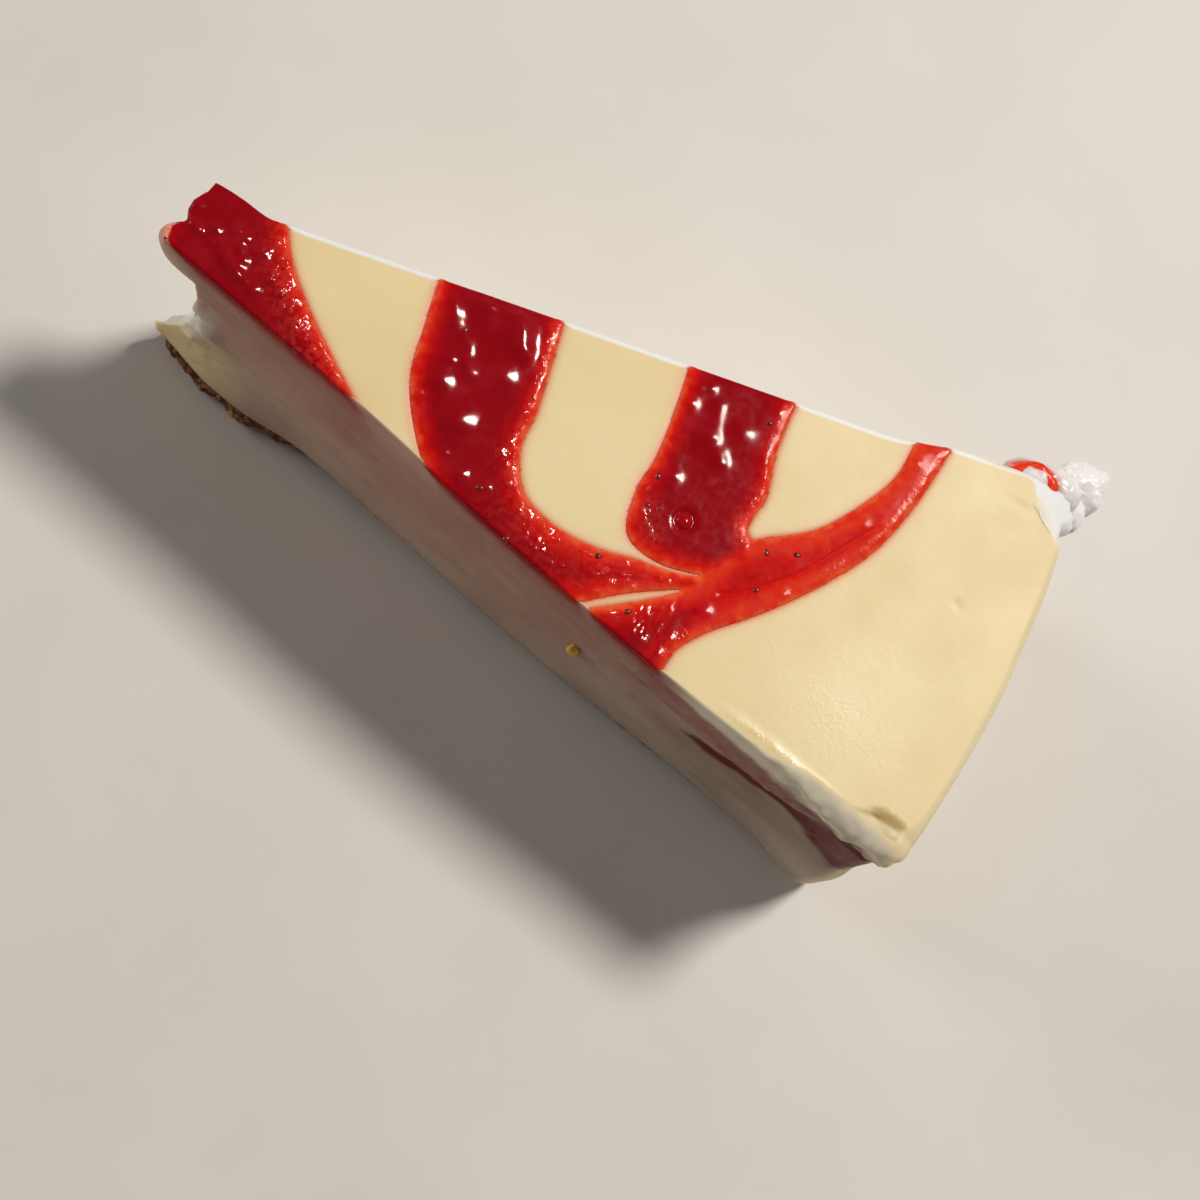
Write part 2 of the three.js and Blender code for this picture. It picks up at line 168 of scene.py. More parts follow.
def outline(z):
    """The slice's plan at heights z, given as one row of heights for each ring, anticlockwise from the near
    face's start: x, y, the outward normal, the distance along the near and along the far face, which go on
    round the corners, and 1 where the tip is torn."""
    near_z, far_z, tip_z = z[:, :FACE_CELLS], z[:, -FACE_CELLS - END_CELLS:-END_CELLS], z[:, -END_CELLS:]
    along = np.arange(FACE_CELLS) / FACE_CELLS

    def stretch(*fields):
        """Fields as one array, each stretched to the same rings and columns."""
        return np.stack(np.broadcast_arrays(*fields, np.zeros((len(z), 1)))[:-1])

    def face(side, s):
        """A cut face: points s out from the cake's centre, on a line at half the slice's angle."""
        ends = (s, OFF_FACE) if side == NEAR else (OFF_FACE, s)
        sine, cosine = np.sin(HALF_ANGLE), np.cos(HALF_ANGLE)
        return stretch(s * cosine, side * s * sine, -sine, side * cosine, *ends, 0)

    def corner(side, t):
        """A rim corner: points a share t of the way round its arc."""
        middle = side * (HALF_ANGLE - CORNER_TURN)
        angle = mix(side * (HALF_ANGLE + np.pi / 2), middle, t)
        inner = CAKE_RADIUS - CORNER_RADIUS
        s = mix(FACE_END, CAKE_RADIUS * (1 + CORNER_TURN), t)
        x = inner * np.cos(middle) + CORNER_RADIUS * np.cos(angle)
        y = inner * np.sin(middle) + CORNER_RADIUS * np.sin(angle)
        ends = (s, OFF_FACE) if side == NEAR else (OFF_FACE, s)
        return stretch(x, y, np.cos(angle), np.sin(angle), *ends, 0)

    round_corner = np.arange(CORNER_CELLS) / CORNER_CELLS
    angle = mix(CORNER_TURN - HALF_ANGLE, HALF_ANGLE - CORNER_TURN, np.arange(RIM_CELLS) / RIM_CELLS)
    past_near, past_far = (CAKE_RADIUS * (1 + HALF_ANGLE - side * angle) for side in (NEAR, FAR))
    cosine, sine = np.cos(angle), np.sin(angle)
    rim = stretch(CAKE_RADIUS * cosine, CAKE_RADIUS * sine, cosine, sine, past_near, past_far, 0)

    share = np.arange(END_CELLS) / END_CELLS
    forward = mix(share ** BEAK_POWER, share, prow(tip_z))
    from_s, to_s = far_start(tip_z), near_start(tip_z)
    front = prow(tip_z) * np.interp(share, FRONT_SHARE, FRONT_BACK)
    tip_x = mix(from_s, to_s, forward) * np.cos(HALF_ANGLE) + front
    tip_y = mix(from_s, -to_s, share) * np.sin(HALF_ANGLE)
    tip = stretch(tip_x, tip_y, -1, 0, OFF_FACE, OFF_FACE, 1)

    near = face(NEAR, mix(near_start(near_z), FACE_END, along))
    far = face(FAR, mix(FACE_END, far_start(far_z), along))
    return np.concatenate([near, corner(NEAR, round_corner), rim, corner(FAR, 1 - round_corner), far, tip], 2)


def swelling(plan, z, side, s, half_s, height, half_z, core):
    """How much of a swelling is felt, from 0 to 1: a hump along the face times a hump up it."""
    along = plan[4] if side == NEAR else plan[5]
    return hump(along - s, half_s, core) * hump(z - height, half_z, core)


def ring_faces(rows, columns):
    """Quads between neighbouring closed rings, facing outwards where those run anticlockwise and rise."""
    index = np.arange(rows * columns).reshape(rows, columns)
    after = np.roll(index, -1, axis=1)
    return np.stack([index[:-1], after[:-1], after[1:], index[1:]], -1).reshape(-1, 4)


def end_faces(rows, columns):
    """The first ring turned over and the last ring, as one face each, which close a stack of rings."""
    ring = np.arange(columns)
    return np.stack([ring[::-1], ring + (rows - 1) * columns])


def new_piece(name, points, face_groups, material, **amounts):
    """A piece from its points in the cake's millimetres, its faces in groups of equal corner counts, and a
    number at each point for each named amount that its material reads."""
    mesh = bpy.data.meshes.new(name)
    corners = np.concatenate([faces.ravel() for faces in face_groups])
    sizes = np.concatenate([np.full(len(faces), faces.shape[1]) for faces in face_groups])
    mesh.vertices.add(len(points))
    mesh.vertices.foreach_set("co", ((points - SLICE_MIDDLE) * MM).astype(np.float32).ravel())
    mesh.loops.add(len(corners))
    mesh.loops.foreach_set("vertex_index", corners.astype(np.int32))
    mesh.polygons.add(len(sizes))
    mesh.polygons.foreach_set("loop_start", (np.cumsum(sizes) - sizes).astype(np.int32))
    mesh.update(calc_edges=True)
    for amount, values in amounts.items():
        layer = mesh.attributes.new(amount, "FLOAT", "POINT")
        layer.data.foreach_set("value", np.broadcast_to(values, len(points)).astype(np.float32))
    mesh.shade_smooth()
    mesh.materials.append(material)
    piece = bpy.data.objects.new(name, mesh)
    bpy.context.scene.collection.objects.link(piece)
    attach(piece, "root")
    return piece


def paint(red, green, blue):
    """A colour as it looks on a screen, from 0 to 255, as light: the screen's power law, undone."""
    c = np.array([red, green, blue]) / 255
    light = np.where(c <= 0.04045, c / 12.92, ((c + 0.055) / 1.055) ** 2.4)
    return (*light, 1.0)


def new_material(name, **finish):
    """A material with its shader's constant finish set, its shader and its object coordinates."""
    material = bpy.data.materials.new(name)
    material.use_nodes = True
    shader = material.node_tree.nodes["Principled BSDF"]
    for socket, value in finish.items():
        shader.inputs[socket.replace("_", " ")].default_value = value
    place = material.node_tree.nodes.new("ShaderNodeTexCoord").outputs["Object"]
    return material, shader, place


def node(shader, kind, inputs, **settings):
    """Adds a node beside the shader: an input is another node's output, which is linked, or a plain value."""
    tree = shader.id_data
    made = tree.nodes.new(kind)
    for name, value in settings.items():
        setattr(made, name, value)
    for name, value in inputs.items():
        if isinstance(value, bpy.types.NodeSocket):
            tree.links.new(value, made.inputs[name])
        else:
            made.inputs[name].default_value = value
    return made.outputs


def mottle(shader, place, grain, detail=3.0, low=0.35, high=0.65):
    """Noise of a grain in millimetres, stretched so that it runs from 0 at low to 1 at high."""
    spots = node(shader, "ShaderNodeTexNoise", {"Vector": place, "Scale": 1 / (grain * MM), "Detail": detail})
    span = {"Value": spots["Fac"], "From Min": low, "From Max": high}
    return node(shader, "ShaderNodeMapRange", span)["Result"]


def colours(shader, amount, a, b):
    """Colour a where the amount is 0, blending to colour b where it is 1."""
    return node(shader, "ShaderNodeMix", {0: amount, 6: a, 7: b}, data_type="RGBA")[2]


def sums(shader, operation, a, b):
    """One step of arithmetic between two outputs, or an output and a number."""
    return node(shader, "ShaderNodeMath", {0: a, 1: b}, operation=operation)[0]


def relief(shader, height, depth, under=None):
    """Fine relief of a depth in millimetres, on top of another where under is given."""
    inputs = {"Height": height, "Distance": depth * MM, "Strength": 1.0}
    if under:
        inputs["Normal"] = under
    return node(shader, "ShaderNodeBump", inputs)["Normal"]


def finish_with(shader, **links):
    """Links outputs to the shader's sockets, whose names have _ for a space."""
    for socket, value in links.items():
        shader.id_data.links.new(value, shader.inputs[socket.replace("_", " ")])


BASE_THICKNESS = 3.5
BASE_INSET = 0.6
BASE_ROWS = 15
BASE_EDGE_INSET, BASE_EDGE_HEIGHT = 0.5, 0.8  # its top and bottom edges are worn
BASE_WAVES, BASE_GRIT = (3.1, 0.45), (0.5, 0.16)  # grain and depth
CRUMB_SIZE, CRUMB_DEPTH, CRUMB_SUNK = 1.5, 0.75, 0.3
# where crumbs stand out: side, distance along the face, half width, how far out
BASE_BULGES = [
    (NEAR, 20, 5, 1.3), (NEAR, 27, 7, 2.4), (NEAR, 34, 6, 1.3), (NEAR, 82, 26, 0.3), (NEAR, 108, 14, -0.6),
    (FAR, 48, 10, 0.8), (FAR, 96, 14, 0.9),
]
BULGE_HEIGHT, BULGE_HALF_HEIGHT, BULGE_CRUMB = 1.2, 3.6, 2.6  # their middle and half height, and crumbs
BASE_SETBACK, SETBACK_FROM, SETBACK_WITHIN = 0.8, 23.0, 7.0  # it ends behind the tip's foot
GRAIN_SIZE = 0.8


def biscuit_material():
    """Baked crumb: grains from pale gold to toasted brown, dry, with painted shade in the gaps between them.
    """
    material, shader, place = new_material("baked_biscuit", Roughness=0.8)
    cells = {"Vector": place, "Scale": 1 / (GRAIN_SIZE * MM), "Randomness": 1.0}
    grain = node(shader, "ShaderNodeTexVoronoi", cells)
    tone = node(shader, "ShaderNodeSeparateColor", {"Color": grain["Color"]})["Red"]
    toasted = colours(shader, tone, paint(168, 98, 42), paint(216, 156, 84))
    toasted = colours(shader, mottle(shader, place, 4.0), toasted, paint(146, 78, 30))
    # painted shade: the crevices between the grains are coloured dark brown
    gap = node(shader, "ShaderNodeMapRange", {"Value": grain["Distance"], "From Min": 0.35, "From Max": 0.7})
    fine = relief(shader, mottle(shader, place, 0.35, 4.0, 0.2, 0.8), 0.12)
    finish_with(
        shader,
        Base_Color=colours(shader, gap["Result"], toasted, paint(96, 46, 16)),
        Normal=relief(shader, gap["Result"], -0.25, under=fine),
    )
    return material


def biscuit_base():
    """Level rings of the slice's plan, set in a little, with worn edges, bulges and two sizes of crumb."""
    heights = np.linspace(0, BASE_THICKNESS, BASE_ROWS)
    z = np.repeat(heights[:, None], COLUMNS, 1)
    plan = outline(np.full_like(z, BASE_THICKNESS))
    x, y, nx, ny = plan[:4]
    edge = BASE_EDGE_INSET * hump(np.minimum(z, BASE_THICKNESS - z), BASE_EDGE_HEIGHT)
    out = waves(x, y, z, *BASE_WAVES) - BASE_INSET - edge
    standing = CRUMB_DEPTH * crumbs(x / CRUMB_SIZE, y / CRUMB_SIZE, z / CRUMB_SIZE) - CRUMB_SUNK
    out += standing + waves(x, y, z, *BASE_GRIT)
    coarse = crumbs(x / BULGE_CRUMB, y / BULGE_CRUMB, z / BULGE_CRUMB)
    for side, s, half_s, bulge in BASE_BULGES:
        felt = swelling(plan, z, side, s, half_s, BULGE_HEIGHT, BULGE_HALF_HEIGHT, 0.2)
        out += bulge * felt * (0.75 + 0.5 * coarse)
    setback = BASE_SETBACK * smooth((SETBACK_FROM - x) / SETBACK_WITHIN)
    points = np.stack([x + nx * out + setback, y + ny * out, z], -1).reshape(-1, 3)
    faces = [ring_faces(BASE_ROWS, COLUMNS), end_faces(BASE_ROWS, COLUMNS)]
    return new_piece("crumb_base", points, faces, biscuit_material())


crumb_base = biscuit_base()
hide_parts("biscuit_base")

# ----------------------------------------------------------------------------------------------------------
# The cheese filling: set cream cheese, baked in a tin and cut. Its top and rim have a smooth pale yellow
# skin, its cut faces are whiter and smeared by the knife, and its tip and far corner are torn and curdy.

FILLING_FOOT = 3.2
SLICE_HEIGHT = 40.0
CUT_EDGE, RIM_EDGE, SAUCE_EDGE, LIP_EDGE = 0.4, 1.2, 0.2, 2.4  # radii of the top's edges
LIP_FROM, LIP_TO = 104.0, 119.0  # the near edge is crumbled off towards the rim
WALL_ROWS, EDGE_ROWS = 72, 8
CHANNEL_DEPTH = 1.7  # the top is lower under the sauce
CHANNEL_FROM, CHANNEL_WITHIN = -0.35, 3.2  # where it begins inside the sauce's edge, and how soon it is deep
CHANNEL_AT_WALL = 0.4  # the share of it that the cut faces show

# swellings and dents of the cut faces: side, distance along it, half width, height, half height, how far
# out, and the share of the half sizes that is level
SWELLINGS = [
    (NEAR, 80, 36, 38, 16, 1.0, 0.2),  # the middle of the face, at its top and at its foot
    (NEAR, 76, 28, 2, 16, 0.7, 0.2),
    (NEAR, 28, 13, 1, 16, 1.3, 0.1),  # the foot by the tip
    (NEAR, 106, 15, 31, 4, 0.7, 0.1),  # a smeared ridge
    (NEAR, 112, 22, 36, 5.5, 0.8, 0.0),  # the top's lip, and more of it at the rim
    (NEAR, 123, 12, 38, 5, 0.5, 0.2),
    (NEAR, 22.5, 3.4, 26.5, 3.2, 0.7, 0.0),  # curds that hang at the torn edge
    (NEAR, 24.5, 3.0, 20, 2.8, 0.8, 0.0),
    (NEAR, 22.5, 2.8, 14.5, 2.4, 0.6, 0.0),
    (NEAR, 125, 16, 33.4, 3, -0.9, 0.1),  # the step below the lip
    (NEAR, 126, 10, 8, 15, 1.1, 0.2),  # the foot by the rim
    (FAR, 19, 8, 40, 12, 1.4, 0.3),  # the flare of the tip
    (FAR, 72, 36, 20, 26, 0.5, 0.1),  # the middle of the face, and the top by the lump
    (FAR, 116, 14, 39, 12, 1.3, 0.2),
    (FAR, 125, 7, 31, 8.5, 3.0, 0.2),  # the root of the lump at the far corner
]
CHIP = (FAR, 127, 6.5, 41, 5.2, 0.2)  # broken out of the top above the lump
CHIP_DEPTH, CHIP_WAY = 3.1, (-0.74, -0.67)
# the tip's far corner is drawn out under the top: where, half size, how far and which way, and from what
# height up
HORN_AT, HORN_HALF, HORN_REACH, HORN_WAY = (18.4, 4.2), 4.0, 0.7, (-0.5, 0.87)
HORN_FROM, HORN_WITHIN = 30.0, 8.0
# the pink nub under the sauce at the tip: middle, half sizes, how sharply it rounds and how it blends in
NUB_X, NUB_Y, NUB_Z = 15.8, -2.1, 38.0
NUB_HALF_Y, NUB_HALF_Z = 1.9, 2.6
NUB_ROUND, NUB_BLEND, NUB_REACH = 1.5, 3.0, 4.0

# where curd is torn: on the tip, beside it on the near face, and round the far lump
TORN_TIP_HEIGHT, TORN_TIP_HALF = 18.0, 22.0
TORN_BESIDE_WIDTH, TORN_BESIDE_HEIGHT, TORN_BESIDE_HALF = 4.4, 20.0, 11.0
TORN_LUMP = (FAR, 125.5, 9, 32, 10, 0.6)
CORNER_KEPT = 1.2  # the corner lines of the tip stay clean within this distance
COARSE_CURD, FINE_CURD = (1.7, 0.55), (0.9, 0.3)  # size and depth
TORN_GRAIN, TORN_DEPTH, LUMP_DEEPER = 2.6, 0.5, 0.3
# what the knife left: pores, a smeared ridge and the crumbly lip
PORE_SIZE, PORE_DEPTH = 0.9, 0.22
SMEARED_RIDGE, RIDGE_CRUMBS = (NEAR, 108, 15, 31.5, 5, 0.3), 0.6
CRUMBLY_LIP = (NEAR, 119, 17, 37.5, 4.5, 0.2)

# the top's dent by the rim: middle, depth, half sizes and its turn; and low ridges by the far rim corner
DENT_AT, DENT_DEPTH, DENT_HALF, DENT_TURN = (117.1, 6.0), 0.22, (0.55, 1.1), (0.8, 0.6)
RIDGES_AT, RIDGES_HALF, RIDGES_DEPTH = (119.0, 20.5), 5.0, 0.05
# the wet line: its middle and half length in x, how far in from the near edge at the x it is measured at,
# how much further in for each mm towards the rim, and its half width
WET_LINE_AT, WET_LINE_LENGTH = 106.5, 11.0
WET_LINE_IN, WET_LINE_FROM, WET_LINE_DRIFT, WET_LINE_HALF = 1.0, 106.0, 0.03, 1.1
# where the top's skin has crumbled off along the near edge: x from and to, and how far in from the edge
BROKEN_FROM, BROKEN_TO = 113.0, 122.5
BROKEN_WIDTH, BROKEN_STEP = (0.8, 3.7), 0.3
SCALLOP_GRAIN, SCALLOP_DEPTH = 1.3, 0.5

# The sauce lies in channels. Each is the area between two edges, smooth curves through [x, y].
TIP_PATCH = {
    "left": [[17.6, 8], [17.0, 5.6], [16.4, 3.4], [16.4, 1.6], [16.8, 0.2], [17.0, -1.0], [17.2, -2.6],
             [17.8, -4.4], [20.0, -6.8], [23.5, -9.4], [28, -12], [34, -15]],
    "right": [[26.2, 11], [26.6, 8.4], [27.8, 5.9], [30.4, 2.1], [35, -2], [41, -6.3], [49, -11.5]],
}
WIDE_STRIPE = {  # its tail runs along the near face
    "left": [[45.1, 12.5], [45.8, 9.2], [47.1, 3], [48.6, -3], [52, -8.2], [58, -14],
             [68, -20], [76, -17.6], [82, -12.8], [88, -8.8], [95, -5.2]],
    "right": [[60.4, 15.5], [60.8, 12.2], [62, 6.5], [63.2, 0.5], [63.6, -4], [66.4, -8.3],
              [71, -9.9], [76.5, -9.8], [81, -8.7], [87, -7.4], [94, -3.6]],
}
MIDDLE_STRIPE = {  # it ends in a blunt foot
    "left": [[75.3, 18], [76, 15.1], [77.1, 9], [77.7, 3], [77.5, -1.5],
             [79, -6.5], [83, -7.7], [88, -6.7], [94, -4]],
    "right": [[89.2, 21], [89.3, 17.5], [89.9, 11], [91.3, 5.5], [91, 2.4],
              [91.2, 0.9], [92.6, 0.2], [94.5, -0.6], [97, -1.5]],
}
THIN_ARC = {  # it fans out towards the near face
    "left": [[104, 24], [104, 20.7], [103.8, 16], [101.6, 10.5], [98, 5], [93, 1],
             [90, -2], [88, -8.6], [84.5, -12.2], [79, -16.6], [74, -21]],
    "right": [[108.5, 25], [108.2, 21.5], [107.4, 14], [105.5, 6.5], [102, 0], [98, -5.7],
              [95, -9.2], [92.5, -12], [90.2, -15.8], [89.8, -19.5], [89.5, -25]],
}
STRIPES = [TIP_PATCH, WIDE_STRIPE, MIDDLE_STRIPE, THIN_ARC]
CURVE_STEPS = 10


def smooth_curve(points):
    """A centripetal Catmull-Rom curve: on each span a cubic between its ends, with slopes from the
    neighbouring points weighed by the square roots of their distances."""
    p = np.array(points, float)
    p = np.vstack([2 * p[0] - p[1], p, 2 * p[-1] - p[-2]])
    gap = np.sqrt(np.linalg.norm(np.diff(p, axis=0), axis=1))[:, None]
    a, b, c, d = p[:-3], p[1:-2], p[2:-1], p[3:]
    before, here, after = gap[:-2], gap[1:-1], gap[2:]
    slope_b = ((b - a) / before - (c - a) / (before + here) + (c - b) / here) * here
    slope_c = ((c - b) / here - (d - b) / (here + after) + (d - c) / after) * here
    t = (np.arange(CURVE_STEPS) / CURVE_STEPS)[None, :, None]
    b, c, slope_b, slope_c = (v[:, None] for v in (b, c, slope_b, slope_c))
    cubic = b + slope_b * t + (3 * (c - b) - 2 * slope_b - slope_c) * t**2
    cubic = cubic + (2 * (b - c) + slope_b + slope_c) * t**3
    return np.vstack([cubic.reshape(-1, p.shape[1]), p[-2]])


def closed_outline(stripe):
    """The closed outline between a stripe's two edges."""
    return np.vstack([smooth_curve(stripe["left"]), smooth_curve(stripe["right"])[::-1]])


def inside_distance(x, y, corners):
    """How far points lie inside a closed outline, negative outside it: the distance to its nearest side,
    signed by how many sides a ray towards -X crosses."""
    nearest = np.full(np.shape(x), np.inf)
    inside = np.zeros(np.shape(x), bool)
    for (ax, ay), (bx, by) in zip(corners, np.roll(corners, -1, axis=0)):
        dx, dy = bx - ax, by - ay
        share = np.clip(((x - ax) * dx + (y - ay) * dy) / (dx * dx + dy * dy + 1e-12), 0, 1)
        nearest = np.minimum(nearest, (x - ax - share * dx) ** 2 + (y - ay - share * dy) ** 2)
        inside ^= ((ay > y) != (by > y)) & (x > ax + (y - ay) * dx / (dy + 1e-12))
    return np.where(inside, 1, -1) * np.sqrt(nearest)


def line_distance(x, y, line):
    """How far points are from a smooth curve through a line's points."""
    curve = smooth_curve(line)
    return np.abs(inside_distance(x, y, np.vstack([curve, curve[::-1]])))


def depth_in(x, y, stripes):
    """How far points lie inside stripes: the most that they lie inside any one of them."""
    return np.max([inside_distance(x, y, closed_outline(stripe)) for stripe in stripes], axis=0)


def channel(depth):
    """How much lower the filling's top is at a depth inside the sauce: a smooth step."""
    return CHANNEL_DEPTH * smooth((depth - CHANNEL_FROM) / CHANNEL_WITHIN)


def from_near_face(x, y):
    """How far points lie in from the near cut face, straight across it."""
    return x * np.sin(HALF_ANGLE) + y * np.cos(HALF_ANGLE)


def broken_skin(x, y):
    """1 where the top's skin has crumbled off: a band that widens towards the rim, with a scalloped border
    that is blurred over half a millimetre."""
    width = mix(*BROKEN_WIDTH, smooth((x - BROKEN_FROM) / (BROKEN_TO - BROKEN_FROM)))
    width = width + SCALLOP_DEPTH * noise(x / SCALLOP_GRAIN, 0.5, 2.5)
    return smooth((width - from_near_face(x, y)) / 0.5) * smooth((x - BROKEN_FROM + 2) / 3)


def wet_edge(x, y):
    """1 along the thin wet line just inside the near edge by the rim: a hump across it times one along it."""
    off_line = from_near_face(x, y) - WET_LINE_IN - WET_LINE_DRIFT * (x - WET_LINE_FROM)
    return hump(off_line, WET_LINE_HALF) * hump(x - WET_LINE_AT, WET_LINE_LENGTH, 0.3)


def top_height(x, y):
    """The top's own height: nearly level, with broad soft waves, a dent, a few low ridges by the far rim
    corner, and a thin raised line along the near edge by the rim, where its skin then breaks off."""
    soft = 0.10 * noise(x / 16, y / 16, 0.5) + 0.03 * noise(x / 7, y / 7, 3.5)
    off_x, off_y, (cosine, sine) = x - DENT_AT[0], y - DENT_AT[1], DENT_TURN
    dent_x, dent_y = off_x * cosine + off_y * sine, off_y * cosine - off_x * sine
    dent = DENT_DEPTH * hump(np.hypot(dent_x / DENT_HALF[0], dent_y / DENT_HALF[1]), 1.0)
    by_corner = hump(np.hypot(x - RIDGES_AT[0], y - RIDGES_AT[1]), RIDGES_HALF)
    ridges = RIDGES_DEPTH * noise(x / 3.5, y / 0.9, 1.5) * by_corner
    line = wet_edge(x, y) * (0.07 + 0.03 * noise(x / 1.1, y / 1.1, 4.0))
    step = broken_skin(x, y) * (0.3 * crumbs(x / 1.6, y / 1.6, 3.3) - BROKEN_STEP)
    return SLICE_HEIGHT + soft - dent + ridges + line + step


def torn_shares(plan, z):
    """How torn the wall is, from 0 to 1: the tip, the edge beside it on the near face, and the far lump."""
    near_s, is_tip = plan[4], plan[6]
    torn_tip = is_tip * hump(z - TORN_TIP_HEIGHT, TORN_TIP_HALF, 0.5)
    beside_tip = hump(near_s - near_start(z), TORN_BESIDE_WIDTH, 0.3)
    beside_tip = beside_tip * hump(z - TORN_BESIDE_HEIGHT, TORN_BESIDE_HALF, 0.5)
    return torn_tip, beside_tip, swelling(plan, z, *TORN_LUMP)


def filling_wall(z, inset):
    """The wall's points at heights z, moved in by an inset: the plan with its swellings, chip, horn and nub,
    a soft minimum with the tip, and on those the relief that each kind of surface has. Also how torn it is
    there, and the plan."""
    plan = outline(z)
    x, y, nx, ny, near_s, far_s, is_tip = plan
    along_x, along_y = np.gradient(x, axis=1), np.gradient(y, axis=1)
    length = np.hypot(along_x, along_y) + 1e-9
    nx, ny = mix(nx, along_y / length, is_tip), mix(ny, -along_x / length, is_tip)
    out = -inset
    for *place, bulge, core in SWELLINGS:
        out = out + bulge * swelling(plan, z, *place, core)
    chip = CHIP_DEPTH * swelling(plan, z, *CHIP)
    horn = hump(np.hypot(x - HORN_AT[0], y - HORN_AT[1]), HORN_HALF)
    horn = horn * smooth((z - HORN_FROM) / HORN_WITHIN) * HORN_REACH
    x = x + nx * out + chip * CHIP_WAY[0] + horn * HORN_WAY[0]
    y = y + ny * out + chip * CHIP_WAY[1] + horn * HORN_WAY[1]
    off_nub = ((y - NUB_Y) / NUB_HALF_Y) ** 2 + ((z - NUB_Z) / NUB_HALF_Z) ** 2
    nub_x = np.minimum(NUB_X + NUB_ROUND * off_nub, x + NUB_REACH)
    drawn_out = -np.log(np.exp(-NUB_BLEND * (nub_x - x)) + 1) / NUB_BLEND
    x = x + is_tip * drawn_out

    torn_tip, beside_tip, torn_lump = torn_shares(plan, z)
    torn = np.maximum(np.maximum(torn_tip * smooth(from_near_face(x, y) / 2.2), 0.8 * beside_tip), torn_lump)
    cosine, sine = np.cos(HALF_ANGLE), np.sin(HALF_ANGLE)
    to_near = np.hypot(plan[0] - near_start(z) * cosine, plan[1] + near_start(z) * sine)
    to_far = np.hypot(plan[0] - far_start(z) * cosine, plan[1] - far_start(z) * sine)
    rough = np.maximum(np.maximum(torn_tip, beside_tip), torn_lump)
    rough = rough * smooth(np.minimum(to_near, to_far) / CORNER_KEPT)
    curds = clumps(x, y, z, *COARSE_CURD) + clumps(x, y, z, *FINE_CURD)
    torn_waves = waves(x, y, z, TORN_GRAIN, TORN_DEPTH + LUMP_DEEPER * torn_lump)
    fine = rough * (torn_waves + curds) * smooth((SLICE_HEIGHT - z) / 2.5)
    along = np.where(near_s < OFF_FACE, near_s, far_s)
    is_cut = (1 - is_tip) * ((near_s >= OFF_FACE) | (far_s >= OFF_FACE)) * smooth((FACE_END - along) / 4)
    drag = 0.07 * noise(along / 14, z / 1.8 + along / 30, 7.0) + 0.03 * noise(along / 5, z / 0.6, 11.0)
    pores = smooth((waves(x, y, z, PORE_SIZE, 1) - 0.62) / 0.2)
    fine = fine + is_cut * (drag - PORE_DEPTH * pores) * smooth((SLICE_HEIGHT - 0.6 - z) / 4)
    ridge = swelling(plan, z, *SMEARED_RIDGE)
    fine = fine + ridge * RIDGE_CRUMBS * (crumbs(x / 1.7, y / 1.7, z / 1.2) - 0.4)
    lip = 0.4 * noise(x / 1.9, y / 1.9, z / 1.4) + 0.8 * (crumbs(x / 1.8, y / 1.8, z / 1.5) - 0.5)
    fine = fine + swelling(plan, z, *CRUMBLY_LIP) * lip
    is_rim = (1 - is_tip) * smooth((along - FACE_END) / 5)
    fine = fine + is_rim * (0.12 * noise(x / 7, y / 7, z / 6) + waves(x, y, z, 1.6, 0.03))
    return x + nx * fine, y + ny * fine, torn, plan


SPREAD_ROWS = 8  # the lid's rows beside its long sides that are spread evenly


def across(ring, rows, columns):
    """The grid between the four sides of a closed ring, by a Coons patch: the two ways of blending between
    opposite sides, added, less the blend of the four corners. The round corners would fold the first rows
    beside the long sides, so those are spread evenly instead."""
    near, rim = ring[:columns + 1], ring[columns:columns + rows + 1]
    far = ring[columns + rows:2 * columns + rows + 1][::-1]
    tip = np.vstack([ring[2 * columns + rows:], ring[:1]])[::-1]
    u, v = np.linspace(0, 1, columns + 1)[None, :, None], np.linspace(0, 1, rows + 1)[:, None, None]
    corners = mix(mix(near[0], near[-1], u), mix(far[0], far[-1], u), v)
    grid = mix(near[None], far[None], v) + mix(tip[:, None], rim[:, None], u) - corners
    even = (np.arange(1, SPREAD_ROWS) / SPREAD_ROWS)[:, None, None]
    grid[1:SPREAD_ROWS, 1:-1] = mix(grid[:1, 1:-1], grid[SPREAD_ROWS, 1:-1], even)
    grid[-SPREAD_ROWS:-1, 1:-1] = mix(grid[-1 - SPREAD_ROWS, 1:-1], grid[-1:, 1:-1], even)
    return grid


def lid_index(first, rows, columns):
    """The grid's point numbers, with the ring's own along its sides, and new ones from first on inside."""
    ring = np.arange(2 * (rows + columns))
    grid = np.zeros((rows + 1, columns + 1), int)
    grid[0], grid[:, -1] = ring[:columns + 1], ring[columns:columns + rows + 1]
    grid[-1] = ring[columns + rows:2 * columns + rows + 1][::-1]
    grid[:, 0] = np.append(ring[2 * columns + rows:], 0)[::-1]
    grid[1:-1, 1:-1] = np.arange((rows - 1) * (columns - 1)).reshape(rows - 1, columns - 1) + len(ring)
    return grid + first


def grid_faces(index):
    """Quads between neighbouring points of a grid, facing up."""
    return np.stack([index[:-1, :-1], index[:-1, 1:], index[1:, 1:], index[1:, :-1]], -1).reshape(-1, 4)


